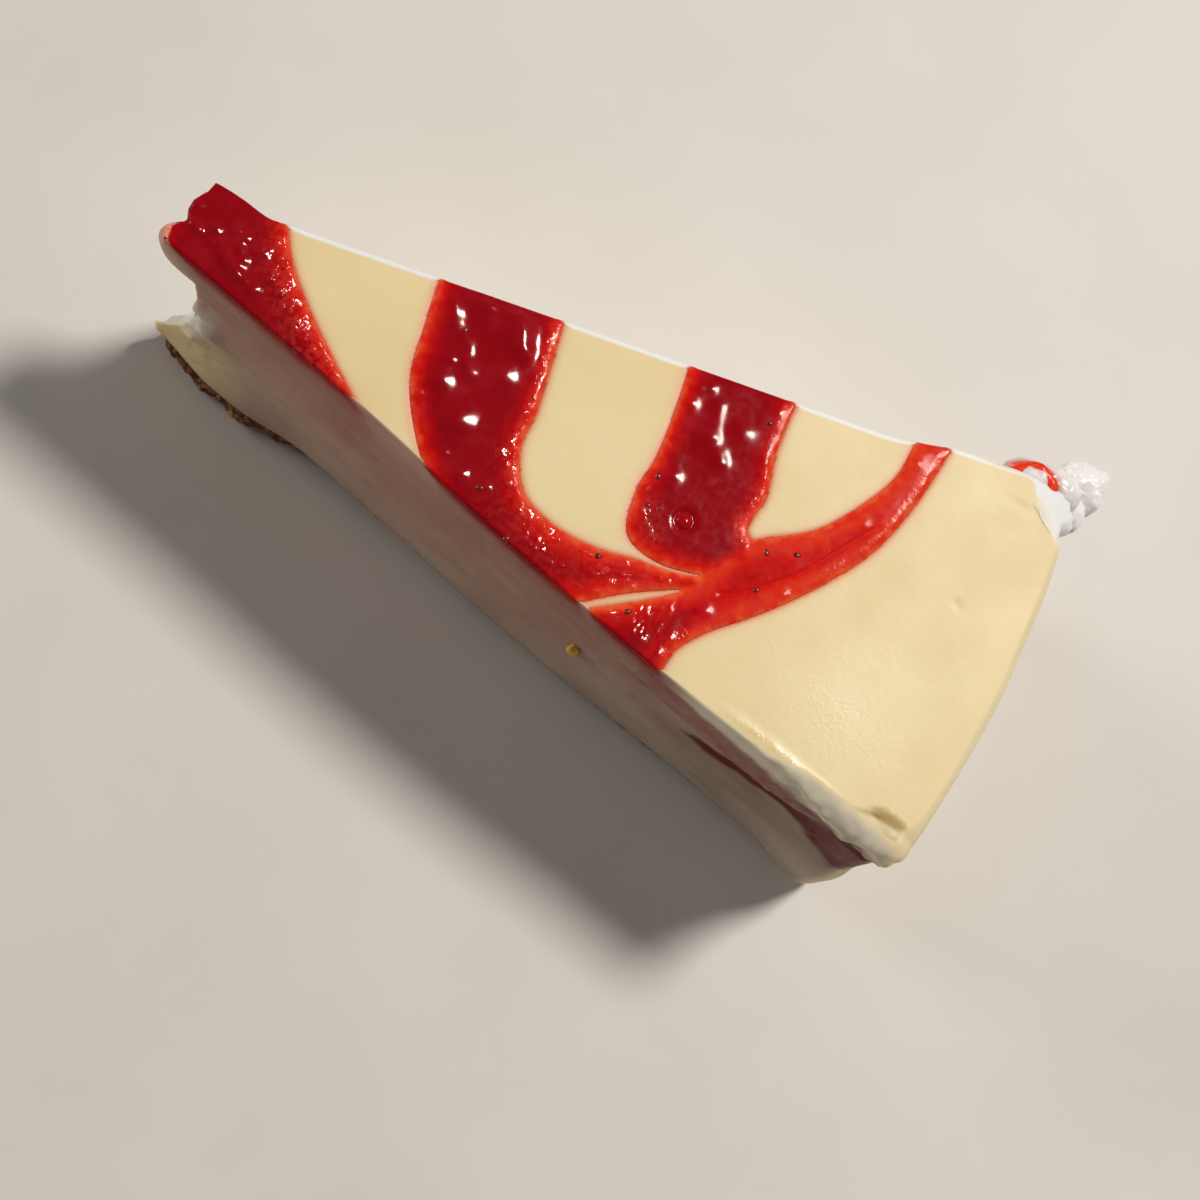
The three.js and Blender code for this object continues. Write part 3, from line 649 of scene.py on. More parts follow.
# What the knife leaves on the near face, as outlines in distance along it and height: the dark wing where
# the sauce inside comes out, and the pink smear above it. Then other pink smears, as swellings are placed,
# each with its strength.
DARK_WING = [
    (99.5, 22), (102, 20.6), (105.7, 22.1), (109.8, 24.0), (114.5, 25.6), (117.5, 24.2), (120.4, 21.0),
    (124.6, 18.6), (126.8, 20.6), (127.8, 24.5), (127.4, 29.5), (125.4, 32.4), (120, 31.4), (115.5, 30.3),
    (110.8, 28.3), (106.5, 26.8), (101.7, 24.4),
]
PINK_SMEAR = [
    (90, 30), (93, 28.5), (99, 27.5), (106, 28.4), (111, 29.8), (118, 32.2), (122, 33.6), (118, 35.2),
    (111, 36.2), (104, 36.4), (99, 37.0), (93, 37.6), (90, 37),
]
PINK_STAINS = [
    (NEAR, 74, 26, 34, 9, 0.2, 0.35), (NEAR, 91, 6, 30, 5, 0.2, 0.6), (NEAR, 30, 14, 36, 8, 0.1, 0.3),
]
# the curd by the tip, painted paler and yellower: partly its own tone, partly painted light
LIT_GOLDEN_AT, LIT_GOLDEN_HALF = (17, 8), (17, 13)  # distance along the face, and height
# places on the top: bared at the far rim corner, olive at the near one, and stained beside the tip's sauce
BARED_AT, BARED_HALF = (123.5, 24), 4.5
OLIVE_AT, OLIVE_HALF = (121, -20.6), (2.9, 1.1)
TIP_STAIN_AT, TIP_STAIN_HALF = (17, -2.5), (5, 4)
WET_PATCHES = [(110, 15, -13, 12, 0.5), (46, 8, -7.5, 4, 0.7)]  # middle and half size in x, in y, strength
COVER_SEEN_AT = 0.3  # a wall is under the sauce where there is sauce this far in from it
SOAK_DOWN, SMEAR_DOWN = 1.7, 7.5  # how far below the sauce the wall is soaked and smeared
NUB_STAIN_Y, NUB_STAIN_HALF = -1.5, 4
FAR_HIGHLIGHT_FROM, FAR_HIGHLIGHT_TO = 26, 119  # the painted highlight along the top's far edge, in x
WHITE_HIGHLIGHT_FROM, WHITE_HIGHLIGHT_TO = 28, 117  # the painted highlight on the far face's rounded edge under it, in distance along the far face


def near_film(plan, z):
    """The thin film of sauce that the knife dragged over the near face, in a colour darkened as painted
    shade:
    streaks of noise drawn out along it, times a share that grows up the face, and nothing on the clean curd
    by the tip's foot or on the lip."""
    s = plan[4]
    streaks = 0.86 + 0.12 * noise(s / 9, z / 5 + s / 40, 2.0) + 0.06 * noise(s / 4, z / 2.4, 6.0)
    clean_foot = hump(s - 14, 18, 0.2) * hump(z - 6, 17, 0.3)
    lip = smooth((s - 92) / 6) * smooth((z - 36.0 + 0.9 * noise(s / 1.5, 0.5, 0.5)) / 1.8)
    return np.clip(streaks * mix(0.7, 1, smooth(z / 26)) * (1 - clean_foot) * (1 - lip), 0, 1)


def point_amount(shader, name):
    """The number that each point has under this name."""
    return node(shader, "ShaderNodeAttribute", {}, attribute_name=name)["Fac"]


def between(shader, share, low, high):
    """A straight blend from low, where the share is 0, to high, where it is 1."""
    return node(shader, "ShaderNodeMapRange", {"Value": share, "To Min": low, "To Max": high})["Result"]


def cheese_material():
    """Set cheese: a yellow skin, a whiter inside, pink where sauce has smeared or soaked in."""
    material, shader, place = new_material(
        "set_cheese", Subsurface_Weight=0.25, Subsurface_Scale=0.0025, IOR=1.4,
    )
    shader.inputs["Subsurface Radius"].default_value = (1.0, 0.6, 0.3)
    broad, middle = mottle(shader, place, 22.0), mottle(shader, place, 3.0)
    skin = colours(shader, broad, paint(237, 210, 153), paint(243, 220, 166))
    inside = colours(shader, middle, paint(228, 213, 184), paint(236, 223, 197))
    colour = colours(shader, point_amount(shader, "cut"), skin, inside)
    colour = colours(shader, point_amount(shader, "torn"), colour, paint(243, 238, 232))
    # painted shade: the film's colour darkens towards the near rim corner
    film = colours(shader, point_amount(shader, "grey"), paint(186, 136, 120), paint(144, 116, 102))
    # partly a real sauce smear, partly painted shade: the near face's film is a darkened pink-brown
    colour = colours(shader, point_amount(shader, "film"), colour, film)
    blotch = mottle(shader, place, 2.2, 5.0, 0.05, 0.8)
    blotch = sums(shader, "MULTIPLY", point_amount(shader, "pink"), blotch)
    colour = colours(shader, blotch, colour, paint(156, 82, 74))
    # painted light, partly the curd's own tone: the tip's near face is painted paler and yellower
    colour = colours(shader, point_amount(shader, "golden"), colour, paint(246, 216, 146))
    colour = colours(shader, point_amount(shader, "olive"), colour, paint(192, 164, 100))
    dark = mottle(shader, place, 2.5, 5.0, 0.1, 0.4)
    dark = sums(shader, "MULTIPLY", point_amount(shader, "dark"), dark)
    colour = colours(shader, dark, colour, paint(102, 8, 16))
    colour = colours(shader, point_amount(shader, "halo"), colour, paint(240, 118, 84))
    colour = colours(shader, point_amount(shader, "soak"), colour, paint(168, 14, 20))
    rough = between(shader, mottle(shader, place, 6.0), 0.42, 0.5)
    wet = sums(shader, "MULTIPLY", point_amount(shader, "wet"), -0.26)
    specks = mottle(shader, place, 0.35, 2.0, 0.5, 0.75)
    specks = sums(shader, "MULTIPLY", specks, point_amount(shader, "sparkle"))
    speckle = relief(shader, specks, 0.02)
    finish_with(
        shader,
        Base_Color=colour,
        Specular_IOR_Level=between(shader, point_amount(shader, "dull"), 0.5, 0.12),
        Roughness=sums(shader, "ADD", rough, wet),
        Normal=relief(shader, mottle(shader, place, 0.9, 4.0, 0.2, 0.8), 0.012, under=speckle),
    )
    return material


def cheese_filling(material):
    """A wall of rings, whose last ones round the top's edge, and the top as a grid between its sides."""
    ring = np.full((1, COLUMNS), SLICE_HEIGHT)
    edge_x, edge_y, _, plan = filling_wall(ring, COVER_SEEN_AT)
    depth = depth_in(edge_x, edge_y, STRIPES)
    cover = smooth((depth + 0.2) / 0.8)
    on_face = np.maximum(plan[6], 1 - smooth((np.minimum(plan[4], plan[5]) - FACE_END) / 2))
    crumbled = smooth((plan[4] - LIP_FROM) / (LIP_TO - LIP_FROM)) * smooth((CAKE_RADIUS + 7 - plan[4]) / 5)
    radius = mix(mix(RIM_EDGE, CUT_EDGE, on_face), LIP_EDGE, crumbled)
    radius = mix(radius, SAUCE_EDGE, cover)
    top = top_height(*filling_wall(ring, radius)[:2]) - CHANNEL_AT_WALL * channel(depth)
    share = np.arange(WALL_ROWS)[:, None] / (WALL_ROWS - 1)
    turn = np.linspace(0, np.pi / 2, EDGE_ROWS + 1)[1:, None]
    z = np.vstack([mix(FILLING_FOOT, top - radius, share), top - radius + radius * np.sin(turn)])
    inset = np.vstack([0 * top + 0 * share, radius * (1 - np.cos(turn))])
    x, y, torn, plan = filling_wall(z, inset)
    rows = len(z)
    lid = across(np.stack([x[-1], y[-1]], -1), END_CELLS, SIDE_CELLS)
    lid_x, lid_y = lid[..., 0], lid[..., 1]
    depth = depth_in(lid_x, lid_y, STRIPES)
    lid_z = top_height(lid_x, lid_y) - channel(depth)
    inner = (slice(1, -1), slice(1, -1))
    lid_points = np.stack([lid_x, lid_y, lid_z], -1)[inner].reshape(-1, 3)
    points = np.vstack([np.stack([x, y, z], -1).reshape(-1, 3), lid_points])
    index = lid_index((rows - 1) * COLUMNS, END_CELLS, SIDE_CELLS)
    foot = np.arange(COLUMNS)[::-1][None]

    def on_both(wall, lid_values=0.0):
        """A number for each point: the wall's, then the lid's."""
        inside = np.broadcast_to(lid_values, lid_x.shape)[inner]
        return np.concatenate([np.broadcast_to(wall, x.shape).ravel(), inside.ravel()])

    near_s, far_s, below = plan[4], plan[5], top - z
    cut = on_face * smooth(2.4 - 2.4 * inset / radius) + 0.5 * (1 - on_face) * hump(inset / radius - 0.5, 0.5)
    near, far = smooth((-plan[3] - 0.3) / 0.4), smooth((plan[3] - 0.3) / 0.4)
    drip = 1 + 0.5 * noise(near_s / 2.5, 0.5, 0.5)
    soak = cover * np.exp(-((below / (SOAK_DOWN * drip)) ** 2))
    smear = cover * np.exp(-below / (SMEAR_DOWN * drip))
    nub = plan[6] * hump(y - NUB_STAIN_Y, NUB_STAIN_HALF, 0.3) * smooth((z - 30) / 5)
    smeared = smooth(inside_distance(near_s, z, np.array(PINK_SMEAR)) + 0.5)
    pink = near * np.maximum(smear, smeared) + 0.5 * far * smear
    for *where, strength in PINK_STAINS:
        pink = np.maximum(pink, strength * swelling(plan, z, *where))
    wing = inside_distance(near_s, z, np.array(DARK_WING)) + 0.5 * noise(near_s / 2, z / 1.2, 8.0)
    off_sauce = np.maximum(0, -depth - 0.05)
    halo = np.exp(-off_sauce / 0.35)
    stained_tip = hump(lid_x - TIP_STAIN_AT[0], TIP_STAIN_HALF[0], 0.3)
    stained_tip = stained_tip * hump(lid_y - TIP_STAIN_AT[1], TIP_STAIN_HALF[1], 0.3) * (off_sauce > 0)
    from_far = (lid_y[-1:] - lid_y) * np.cos(HALF_ANGLE)
    # painted highlight: the lid's outermost band along the far edge is painted white, where the rounded edge
    # catches the lamp
    far_edge_highlight = smooth((0.35 - from_far) / 0.2) * (lid_x > FAR_HIGHLIGHT_FROM)
    far_edge_highlight = far_edge_highlight * smooth((FAR_HIGHLIGHT_TO - lid_x) / 4) * (off_sauce > 0.2)
    # painted highlight: the far face's rounded top edge is painted whiter
    white_edge_highlight = far * (1 - cover) * smooth(1.6 * inset / radius)
    white_edge_highlight = white_edge_highlight * smooth((WHITE_HIGHLIGHT_TO - far_s) / 3) * (far_s > WHITE_HIGHLIGHT_FROM)
    broken = broken_skin(lid_x, lid_y)
    bared_and_edge_highlight = hump(np.hypot(lid_x - BARED_AT[0], lid_y - BARED_AT[1]), BARED_HALF, 0.3)
    # the bared skin, the crumbled band and the painted far-edge highlight all take the whiter inside colour
    bared_and_edge_highlight = np.maximum(np.maximum(far_edge_highlight, 0.6 * broken), bared_and_edge_highlight)
    wet_top = 0.0
    for at_x, half_x, at_y, half_y, strength in WET_PATCHES:
        wet_top = wet_top + strength * hump(lid_x - at_x, half_x) * hump(lid_y - at_y, half_y)
    sparkle = np.maximum(0.8 * wet_top, wet_edge(lid_x, lid_y))
    wet_top = np.maximum(wet_top, wet_edge(lid_x, lid_y))
    wavy_y = lid_y - OLIVE_AT[1] + 0.3 * noise(lid_x, lid_y, 0.5)
    olive = hump(np.hypot((lid_x - OLIVE_AT[0]) / OLIVE_HALF[0], wavy_y / OLIVE_HALF[1]), 1, 0.6)
    # painted shade: the crumbled band is tinted olive, as it lies lower than the skin round it
    olive = np.maximum(olive, 0.35 * broken)
    # painted light, partly the curd's own tone: paler and yellower on the near face by the tip
    golden = near * hump(near_s - LIT_GOLDEN_AT[0], LIT_GOLDEN_HALF[0], 0.2)
    golden = golden * hump(z - LIT_GOLDEN_AT[1], LIT_GOLDEN_HALF[1], 0.2)
    lip = smooth((near_s - 96) / 6) * smooth((z - 34) / 2)
    return new_piece(
        "cheese_filling", points, [ring_faces(rows, COLUMNS), foot, grid_faces(index)], material,
        cut=on_both(cut, bared_and_edge_highlight), torn=on_both(np.maximum(torn, white_edge_highlight), far_edge_highlight),
        # the near face's film is partly painted shade
        film=on_both(near * near_film(plan, z) * cut * (1 - torn)), golden=on_both(0.7 * golden),
        # painted shade: darker towards the near rim corner
        grey=on_both(smooth((near_s - 60) / 60)), sparkle=on_both(0.0, sparkle),
        pink=on_both(np.maximum(pink, 0.8 * nub), 0.9 * stained_tip), dark=on_both(smooth(wing / 2 + 0.4)),
        halo=on_both(0.5 * nub * smooth((z - 35) / 3), np.maximum(halo, 0.6 * stained_tip)),
        soak=on_both(soak, (depth > 0.1) * 1.0),
        wet=on_both(0.0, wet_top), olive=on_both(0.0, olive),
        dull=on_both(near * (1 - lip)),
    )


TOP_OUTLINE = np.stack(filling_wall(np.full((1, COLUMNS), SLICE_HEIGHT), 0.0)[:2], -1)[0]
set_cheese = cheese_material()
cheese = cheese_filling(set_cheese)
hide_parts("cheesecake")

# The lump that tore off with the next slice and stayed at the far rim corner: wet white curd in a few
# clods. Each clod: middle, half sizes along, across and up, and its turn in degrees.
CLODS_MIDDLE = (125.8, 28.8, 31.0)
CLODS = [
    ((125.8, 30.2, 31.0), (3.7, 2.8, 2.9), 25), ((128.2, 31.4, 31.6), (1.5, 1.9, 2.2), 0),
    ((120.4, 26.9, 34.6), (4.4, 2.2, 2.6), 8), ((127.9, 29.6, 31.0), (1.8, 2.7, 2.8), 12),
    ((126.6, 26.2, 32.0), (1.9, 2.2, 2.2), 25), ((123.6, 27.0, 33.8), (3.1, 2.6, 2.9), 0),
    ((121.6, 24.6, 34.4), (2.6, 2.4, 2.4), 0),
]
CLOD_ROWS, CLOD_COLUMNS = 90, 180
CLOD_BLEND = 5.0
CURD_WAVES, BIG_CURD, SMALL_CURD = (2.4, 0.4), (1.5, 0.35), (0.7, 0.25)  # size and depth
# colour on it: the line along which the sauce inside comes out, two pink blushes and painted olive shade in a
# crack
RED_LINE = [
    [116.6, 26.4], [117.6, 27.1], [119.2, 27.6], [120.6, 27.6], [121.6, 27.1], [122.4, 26.2], [122.9, 25.4],
]
BLUSH_AT, BLUSH_REACH = (123.5, 26.6, 34), 4.5
SMALL_BLUSH_AT, SMALL_BLUSH_REACH = (126.2, 24.6), 2.0
CRACK_SHADE_AT, CRACK_SHADE_HALF, CRACK_SHADE_SLANT = (123.6, 24.6), (1.6, 0.7), 0.4


def turned_by(degrees):
    """The matrix whose rows are the directions turned anticlockwise about the upright, by sine and cosine."""
    cosine, sine = np.cos(np.radians(degrees)), np.sin(np.radians(degrees))
    return np.array([[cosine, sine, 0], [-sine, cosine, 0], [0, 0, 1]])


def torn_curd(material):
    """Rays from one middle, each as long as the furthest clod reaches along it, by a soft maximum: where a
    ray leaves a clod is the larger root of its quadric. Curdy relief is added along the rays."""
    rise = np.linspace(-np.pi / 2 + 0.03, np.pi / 2 - 0.03, CLOD_ROWS)[:, None]
    turn = np.arange(CLOD_COLUMNS)[None] / CLOD_COLUMNS * 2 * np.pi
    flat = np.ones((CLOD_ROWS, CLOD_COLUMNS))
    ray = np.stack([np.cos(rise) * np.cos(turn), np.cos(rise) * np.sin(turn), np.sin(rise) * flat])
    total = 0.0
    for middle, halves, degrees in CLODS:
        turned = turned_by(degrees) / np.array(halves)[:, None]
        start = turned @ (np.array(CLODS_MIDDLE) - middle)
        way = np.einsum("ij,jkl->ikl", turned, ray)
        both, square = np.einsum("i,ikl->kl", start, way), np.sum(way * way, axis=0)
        inner = both * both - square * (start @ start - 1)
        reach = np.where(inner > 0, (np.sqrt(np.maximum(inner, 0)) - both) / square, 0)
        total = total + np.exp(CLOD_BLEND * np.maximum(reach, 0))
    length = np.log(total) / CLOD_BLEND
    x, y, z = (middle + length * way for middle, way in zip(CLODS_MIDDLE, ray))
    length = length + waves(x, y, z, *CURD_WAVES)
    length = length + clumps(x, y, z, *BIG_CURD)
    length = length + clumps(x, y, z, *SMALL_CURD)
    x, y, z = (middle + length * way for middle, way in zip(CLODS_MIDDLE, ray))
    points = np.stack([x, y, z], -1).reshape(-1, 3)
    faces = [ring_faces(CLOD_ROWS, CLOD_COLUMNS), end_faces(CLOD_ROWS, CLOD_COLUMNS)]
    off_blush = np.hypot(np.hypot(x - BLUSH_AT[0], y - BLUSH_AT[1]), z - BLUSH_AT[2])
    off_small = np.hypot(x - SMALL_BLUSH_AT[0], y - SMALL_BLUSH_AT[1])
    blush = hump(off_blush, BLUSH_REACH) + hump(off_small, SMALL_BLUSH_REACH)
    # painted shade: a crack between the clods, coloured olive
    off_x, off_y = x - CRACK_SHADE_AT[0], y - CRACK_SHADE_AT[1]
    slanted = (off_x - CRACK_SHADE_SLANT * off_y) / CRACK_SHADE_HALF[0]
    crack_shade = hump(np.hypot(slanted, off_y / CRACK_SHADE_HALF[1]), 1, 0.3)
    off_line = line_distance(x, y, RED_LINE)
    red = np.exp(-((off_line / 0.55) ** 2)) * smooth((z - 32) / 2)
    pink = np.minimum(0.5 * blush + 0.4 * np.exp(-((off_line / 1.3) ** 2)), 1)
    return new_piece(
        "torn_curd", points, faces, material, cut=0, torn=1, film=0, grey=0, golden=0, dark=0, dull=0,
        wet=0.7, sparkle=0.3, pink=pink.ravel(), olive=0.6 * crack_shade.ravel(),
        halo=red.ravel(), soak=0.5 * red.ravel() ** 3,
    )


curd = torn_curd(set_cheese)

# ----------------------------------------------------------------------------------------------------------
# The strawberry sauce on the top: cooked fruit in syrup, poured on before baking and pulled into stripes
# with a knife. It is thick and glossy, dark where deep and orange-red where thin, with bits of fruit in it.

TIP_CELL, SWIRL_CELL = 0.15, 0.2
# from the edge of the sauce to this far inside it
COLOURED_DEPTH = 3.0
SAUCE_COLOURS = [
    (0.0, (236, 92, 50)), (0.12, (232, 56, 30)), (0.3, (212, 24, 18)), (0.6, (176, 8, 16)),
    (1.0, (150, 8, 20)),
]
SAUCE_FLOOR, SAUCE_CEILING = 37.6, 41.0
SAUCE_SETBACK, SAUCE_EDGE_RADIUS = 0.04, 0.35  # from the wall's edge, where it turns down
SAUCE_RISE, RISE_WITHIN = 0.2, 0.5  # how high it stands over the top, and how far inside its edge
EDGE_SUNK = 0.03
SKIRT_ROWS = 5
GLINT_WAY = np.array([0.9, 0.43])  # towards the lamp, seen from above

# lumps of fruit under the surface: x, y, radius, height
TIP_LUMPS = [
    (17.9, 2.2, 0.6, 0.28), (18.8, 0.1, 0.5, 0.24), (19.8, -0.4, 0.4, 0.18), (21.4, 0.7, 0.5, 0.21),
    (23.6, 1.8, 0.5, 0.2), (24.8, 1.5, 0.4, 0.15), (27.0, 1.0, 0.6, 0.19), (29.4, -1.3, 0.6, 0.19),
    (31.0, -2.1, 0.5, 0.15), (34.2, -4.2, 0.6, 0.19), (22.5, -0.5, 0.6, 0.24), (23.4, -1.6, 0.7, 0.28),
    (24.8, -2.2, 0.75, 0.3), (26.1, -2.8, 0.65, 0.26), (27.2, -3.0, 0.4, 0.15), (24.3, 0.5, 0.45, 0.17),
    (25.0, -0.1, 0.5, 0.19), (25.9, -0.9, 0.5, 0.18), (28.4, -3.4, 0.6, 0.2), (18.0, 3.9, 0.5, 0.15),
    (33.0, -1.9, 0.5, 0.15),
]
SWIRL_LUMPS = [
    (49.2, 6.2, 1.0, 0.31), (48.5, 7.4, 0.6, 0.19), (56.4, 7.8, 1.6, 0.5), (52.0, 9.0, 1.2, 0.37),
    (57.6, 2.6, 1.3, 0.4), (51.6, 1.2, 0.6, 0.19), (54.2, 0.9, 0.8, 0.25), (51.7, -1.7, 1.1, 0.34),
    (55.5, -4.7, 1.5, 0.46), (50.2, -4.4, 0.6, 0.19), (56.2, -8.9, 0.4, 0.12), (55.3, -9.8, 0.4, 0.12),
    (59.1, -10.1, 0.6, 0.19), (61.8, 0.0, 0.5, 0.15), (62.0, -4.0, 0.5, 0.15), (61.8, -5.5, 0.4, 0.12),
    (63.8, -8.6, 0.5, 0.15), (62.3, -10.0, 0.5, 0.15), (66.6, -10.4, 0.6, 0.19), (58.8, 6.0, 0.9, 0.28),
    (76.6, 13.8, 0.5, 0.15), (78.4, 13.3, 0.6, 0.19), (79.6, 13.9, 0.5, 0.15), (78.2, 11.1, 0.6, 0.19),
    (81.8, 8.4, 0.9, 0.28), (83.9, 7.2, 0.8, 0.25), (84.8, 6.4, 0.6, 0.19), (80.5, 2.3, 0.7, 0.22),
    (87.9, 15.5, 0.4, 0.1), (89.3, 9.3, 0.5, 0.13), (90.1, 7.6, 0.5, 0.13), (85.3, 11.2, 0.9, 0.2),
    (78.1, -0.6, 0.4, 0.12), (79.1, -3.2, 0.4, 0.12), (81.4, -15.9, 0.7, 0.22), (85.7, -16.8, 0.6, 0.19),
    (88.4, -17.5, 0.6, 0.19), (89.0, -15.0, 0.5, 0.15), (91.0, -10.0, 0.6, 0.19), (98.3, -3.7, 0.5, 0.15),
    (102.9, 8.7, 0.5, 0.15), (105.3, 18.7, 0.6, 0.19),
]
# long lumps, each a line, a radius and a height
FRUIT_RIDGES = [
    ([[56.0, 9.8], [57.4, 8.4], [57.9, 6.8]], 0.8, 0.24),
    ([[50.6, 4.6], [52.6, 3.6], [53.4, 1.8]], 0.5, 0.12),
    ([[81.4, 12.6], [82.6, 9.0]], 0.6, 0.14),
]
# grainy patches of pulp: x, y, radius, how grainy
TIP_GRAIN = [
    (27.6, 3.4, 1.6, 0.6), (30.2, 0.8, 1.6, 0.6), (36.0, -4.4, 2.4, 1.0), (32.4, -1.2, 2.0, 1.0),
    (39.5, -7.0, 2.6, 0.8),
]
SWIRL_GRAIN = [
    (66.5, -10.5, 2.6, 0.5), (72.0, -12.0, 3.0, 0.5), (79.0, -11.0, 3.4, 0.4), (81.9, -4.6, 1.5, 0.6),
    (79.5, -2.0, 1.4, 0.45), (89.6, -14.8, 2.2, 0.5), (96.5, -6.0, 2.6, 0.25), (101.0, 3.0, 2.2, 0.2),
    (62.6, -5.6, 1.5, 0.6), (62.0, -1.0, 1.2, 0.4), (91.0, 5.0, 1.2, 0.4), (47.4, 4.0, 1.4, 0.3),
]
BUBBLE = (84.1, -1.8)  # a round bead in a hollow
BUBBLE_RADIUS, BUBBLE_HEIGHT, HOLLOW_RADIUS, HOLLOW_DEPTH = 1.0, 0.6, 1.9, 0.32
ARC_CREASE = [  # along the middle of the thin arc
    [91.7, -7.3], [93.9, -5.9], [96.1, -3.6], [98.7, -0.7], [100.6, 2.3], [102.4, 5.6], [104.7, 9.3],
]
CREASE_DEPTH, CREASE_HALF = 0.1, 0.3


def inside_walls(x, y):
    """How far points of the top lie inside the wall's upper edge."""
    return inside_distance(x, y, TOP_OUTLINE)


def bumps(x, y, spots):
    """A sum of round bumps, each its height times the bell curve of the distance over its radius."""
    total = np.zeros(np.shape(x))
    for at_x, at_y, radius, height in spots:
        total = total + height * np.exp(-((x - at_x) ** 2 + (y - at_y) ** 2) / (2 * radius**2))
    return total


def graininess(x, y, depth, stripes, patches):
    """How grainy the pulp is: in its patches, and in a band inside the edges that face the lamp."""
    towards = depth - depth_in(x + 0.5 * GLINT_WAY[0], y + 0.5 * GLINT_WAY[1], stripes)
    band = hump(depth - 0.85, 0.95, 0.4) * smooth((towards - 0.1) / 0.3)
    in_patches = bumps(x, y, patches) * smooth(depth / 0.8)
    return np.clip(in_patches + band * mix(0.6, 0.3, smooth((x - 64) / 12)), 0, 1)


def steepness(x):
    """How steep lumps have to be to catch the lamp, a straight line in x: the camera sees the tip from the
    other side."""
    return 1.6 - 0.0127 * (x - 25)


def sauce_top(x, y, depth, lumps, grain):
    """The sauce's height: it rises from its edge to a level middle, with broad lumps, streaks that follow its
    edges, bits of fruit and grainy pulp, and turns down at the cut faces."""
    rise = SAUCE_RISE * (1 - np.exp(-np.maximum(depth, 0) / RISE_WITHIN))
    broad = 0.07 * noise(x / 3.4, y / 3.4, 0.3) + 0.018 * noise(x / 1.4, y / 1.4, 5.3)
    tail = smooth((x - 66) / 6) * smooth((-6.5 - y) / 3) * smooth((90 - x) / 6)
    streaks = (0.006 + 0.1 * tail) * noise(x / mix(5, 1.8, tail), y / mix(5, 1.8, tail), depth / 0.45)
    clear = np.where(x < 45, crumbs(x / 0.62, y / 0.62, 9.1), crumbs(x / 0.8, y / 0.8, 9.1))
    pulp_height = 0.004 + mix(0.15, 0.11, smooth((x - 42) / 4)) * grain
    pulp = pulp_height * (1 - (1 - clear) ** 2) * smooth(noise(x / 1.3, y / 1.3, 2.2) + 0.7)
    off_bubble = np.hypot(x - BUBBLE[0], y - BUBBLE[1])
    bubble = BUBBLE_HEIGHT * np.sqrt(np.clip(1 - (off_bubble / BUBBLE_RADIUS) ** 2, 0, 1))
    hollow = HOLLOW_DEPTH * hump(off_bubble, HOLLOW_RADIUS, 0.3)
    crease = CREASE_DEPTH * np.exp(-((line_distance(x, y, ARC_CREASE) / CREASE_HALF) ** 2))
    fruit = bumps(x, y, lumps)
    for ridge, radius, height in FRUIT_RIDGES:
        fruit = fruit + height * np.exp(-(line_distance(x, y, ridge) ** 2) / (2 * radius**2))
    lumpy = (fruit + pulp) * steepness(x)
    detail = smooth(depth / 0.7) * (broad + streaks + lumpy + bubble - hollow - crease)
    to_wall = np.clip(inside_walls(x, y) - SAUCE_SETBACK, 0, SAUCE_EDGE_RADIUS)
    fall = SAUCE_EDGE_RADIUS - np.sqrt(SAUCE_EDGE_RADIUS**2 - (SAUCE_EDGE_RADIUS - to_wall) ** 2)
    near_wall = mix(0.3, 1, smooth(inside_walls(x, y) / 1.6))
    height = top_height(x, y) - EDGE_SUNK + (rise + detail) * near_wall
    return np.minimum(height, SAUCE_CEILING) - fall


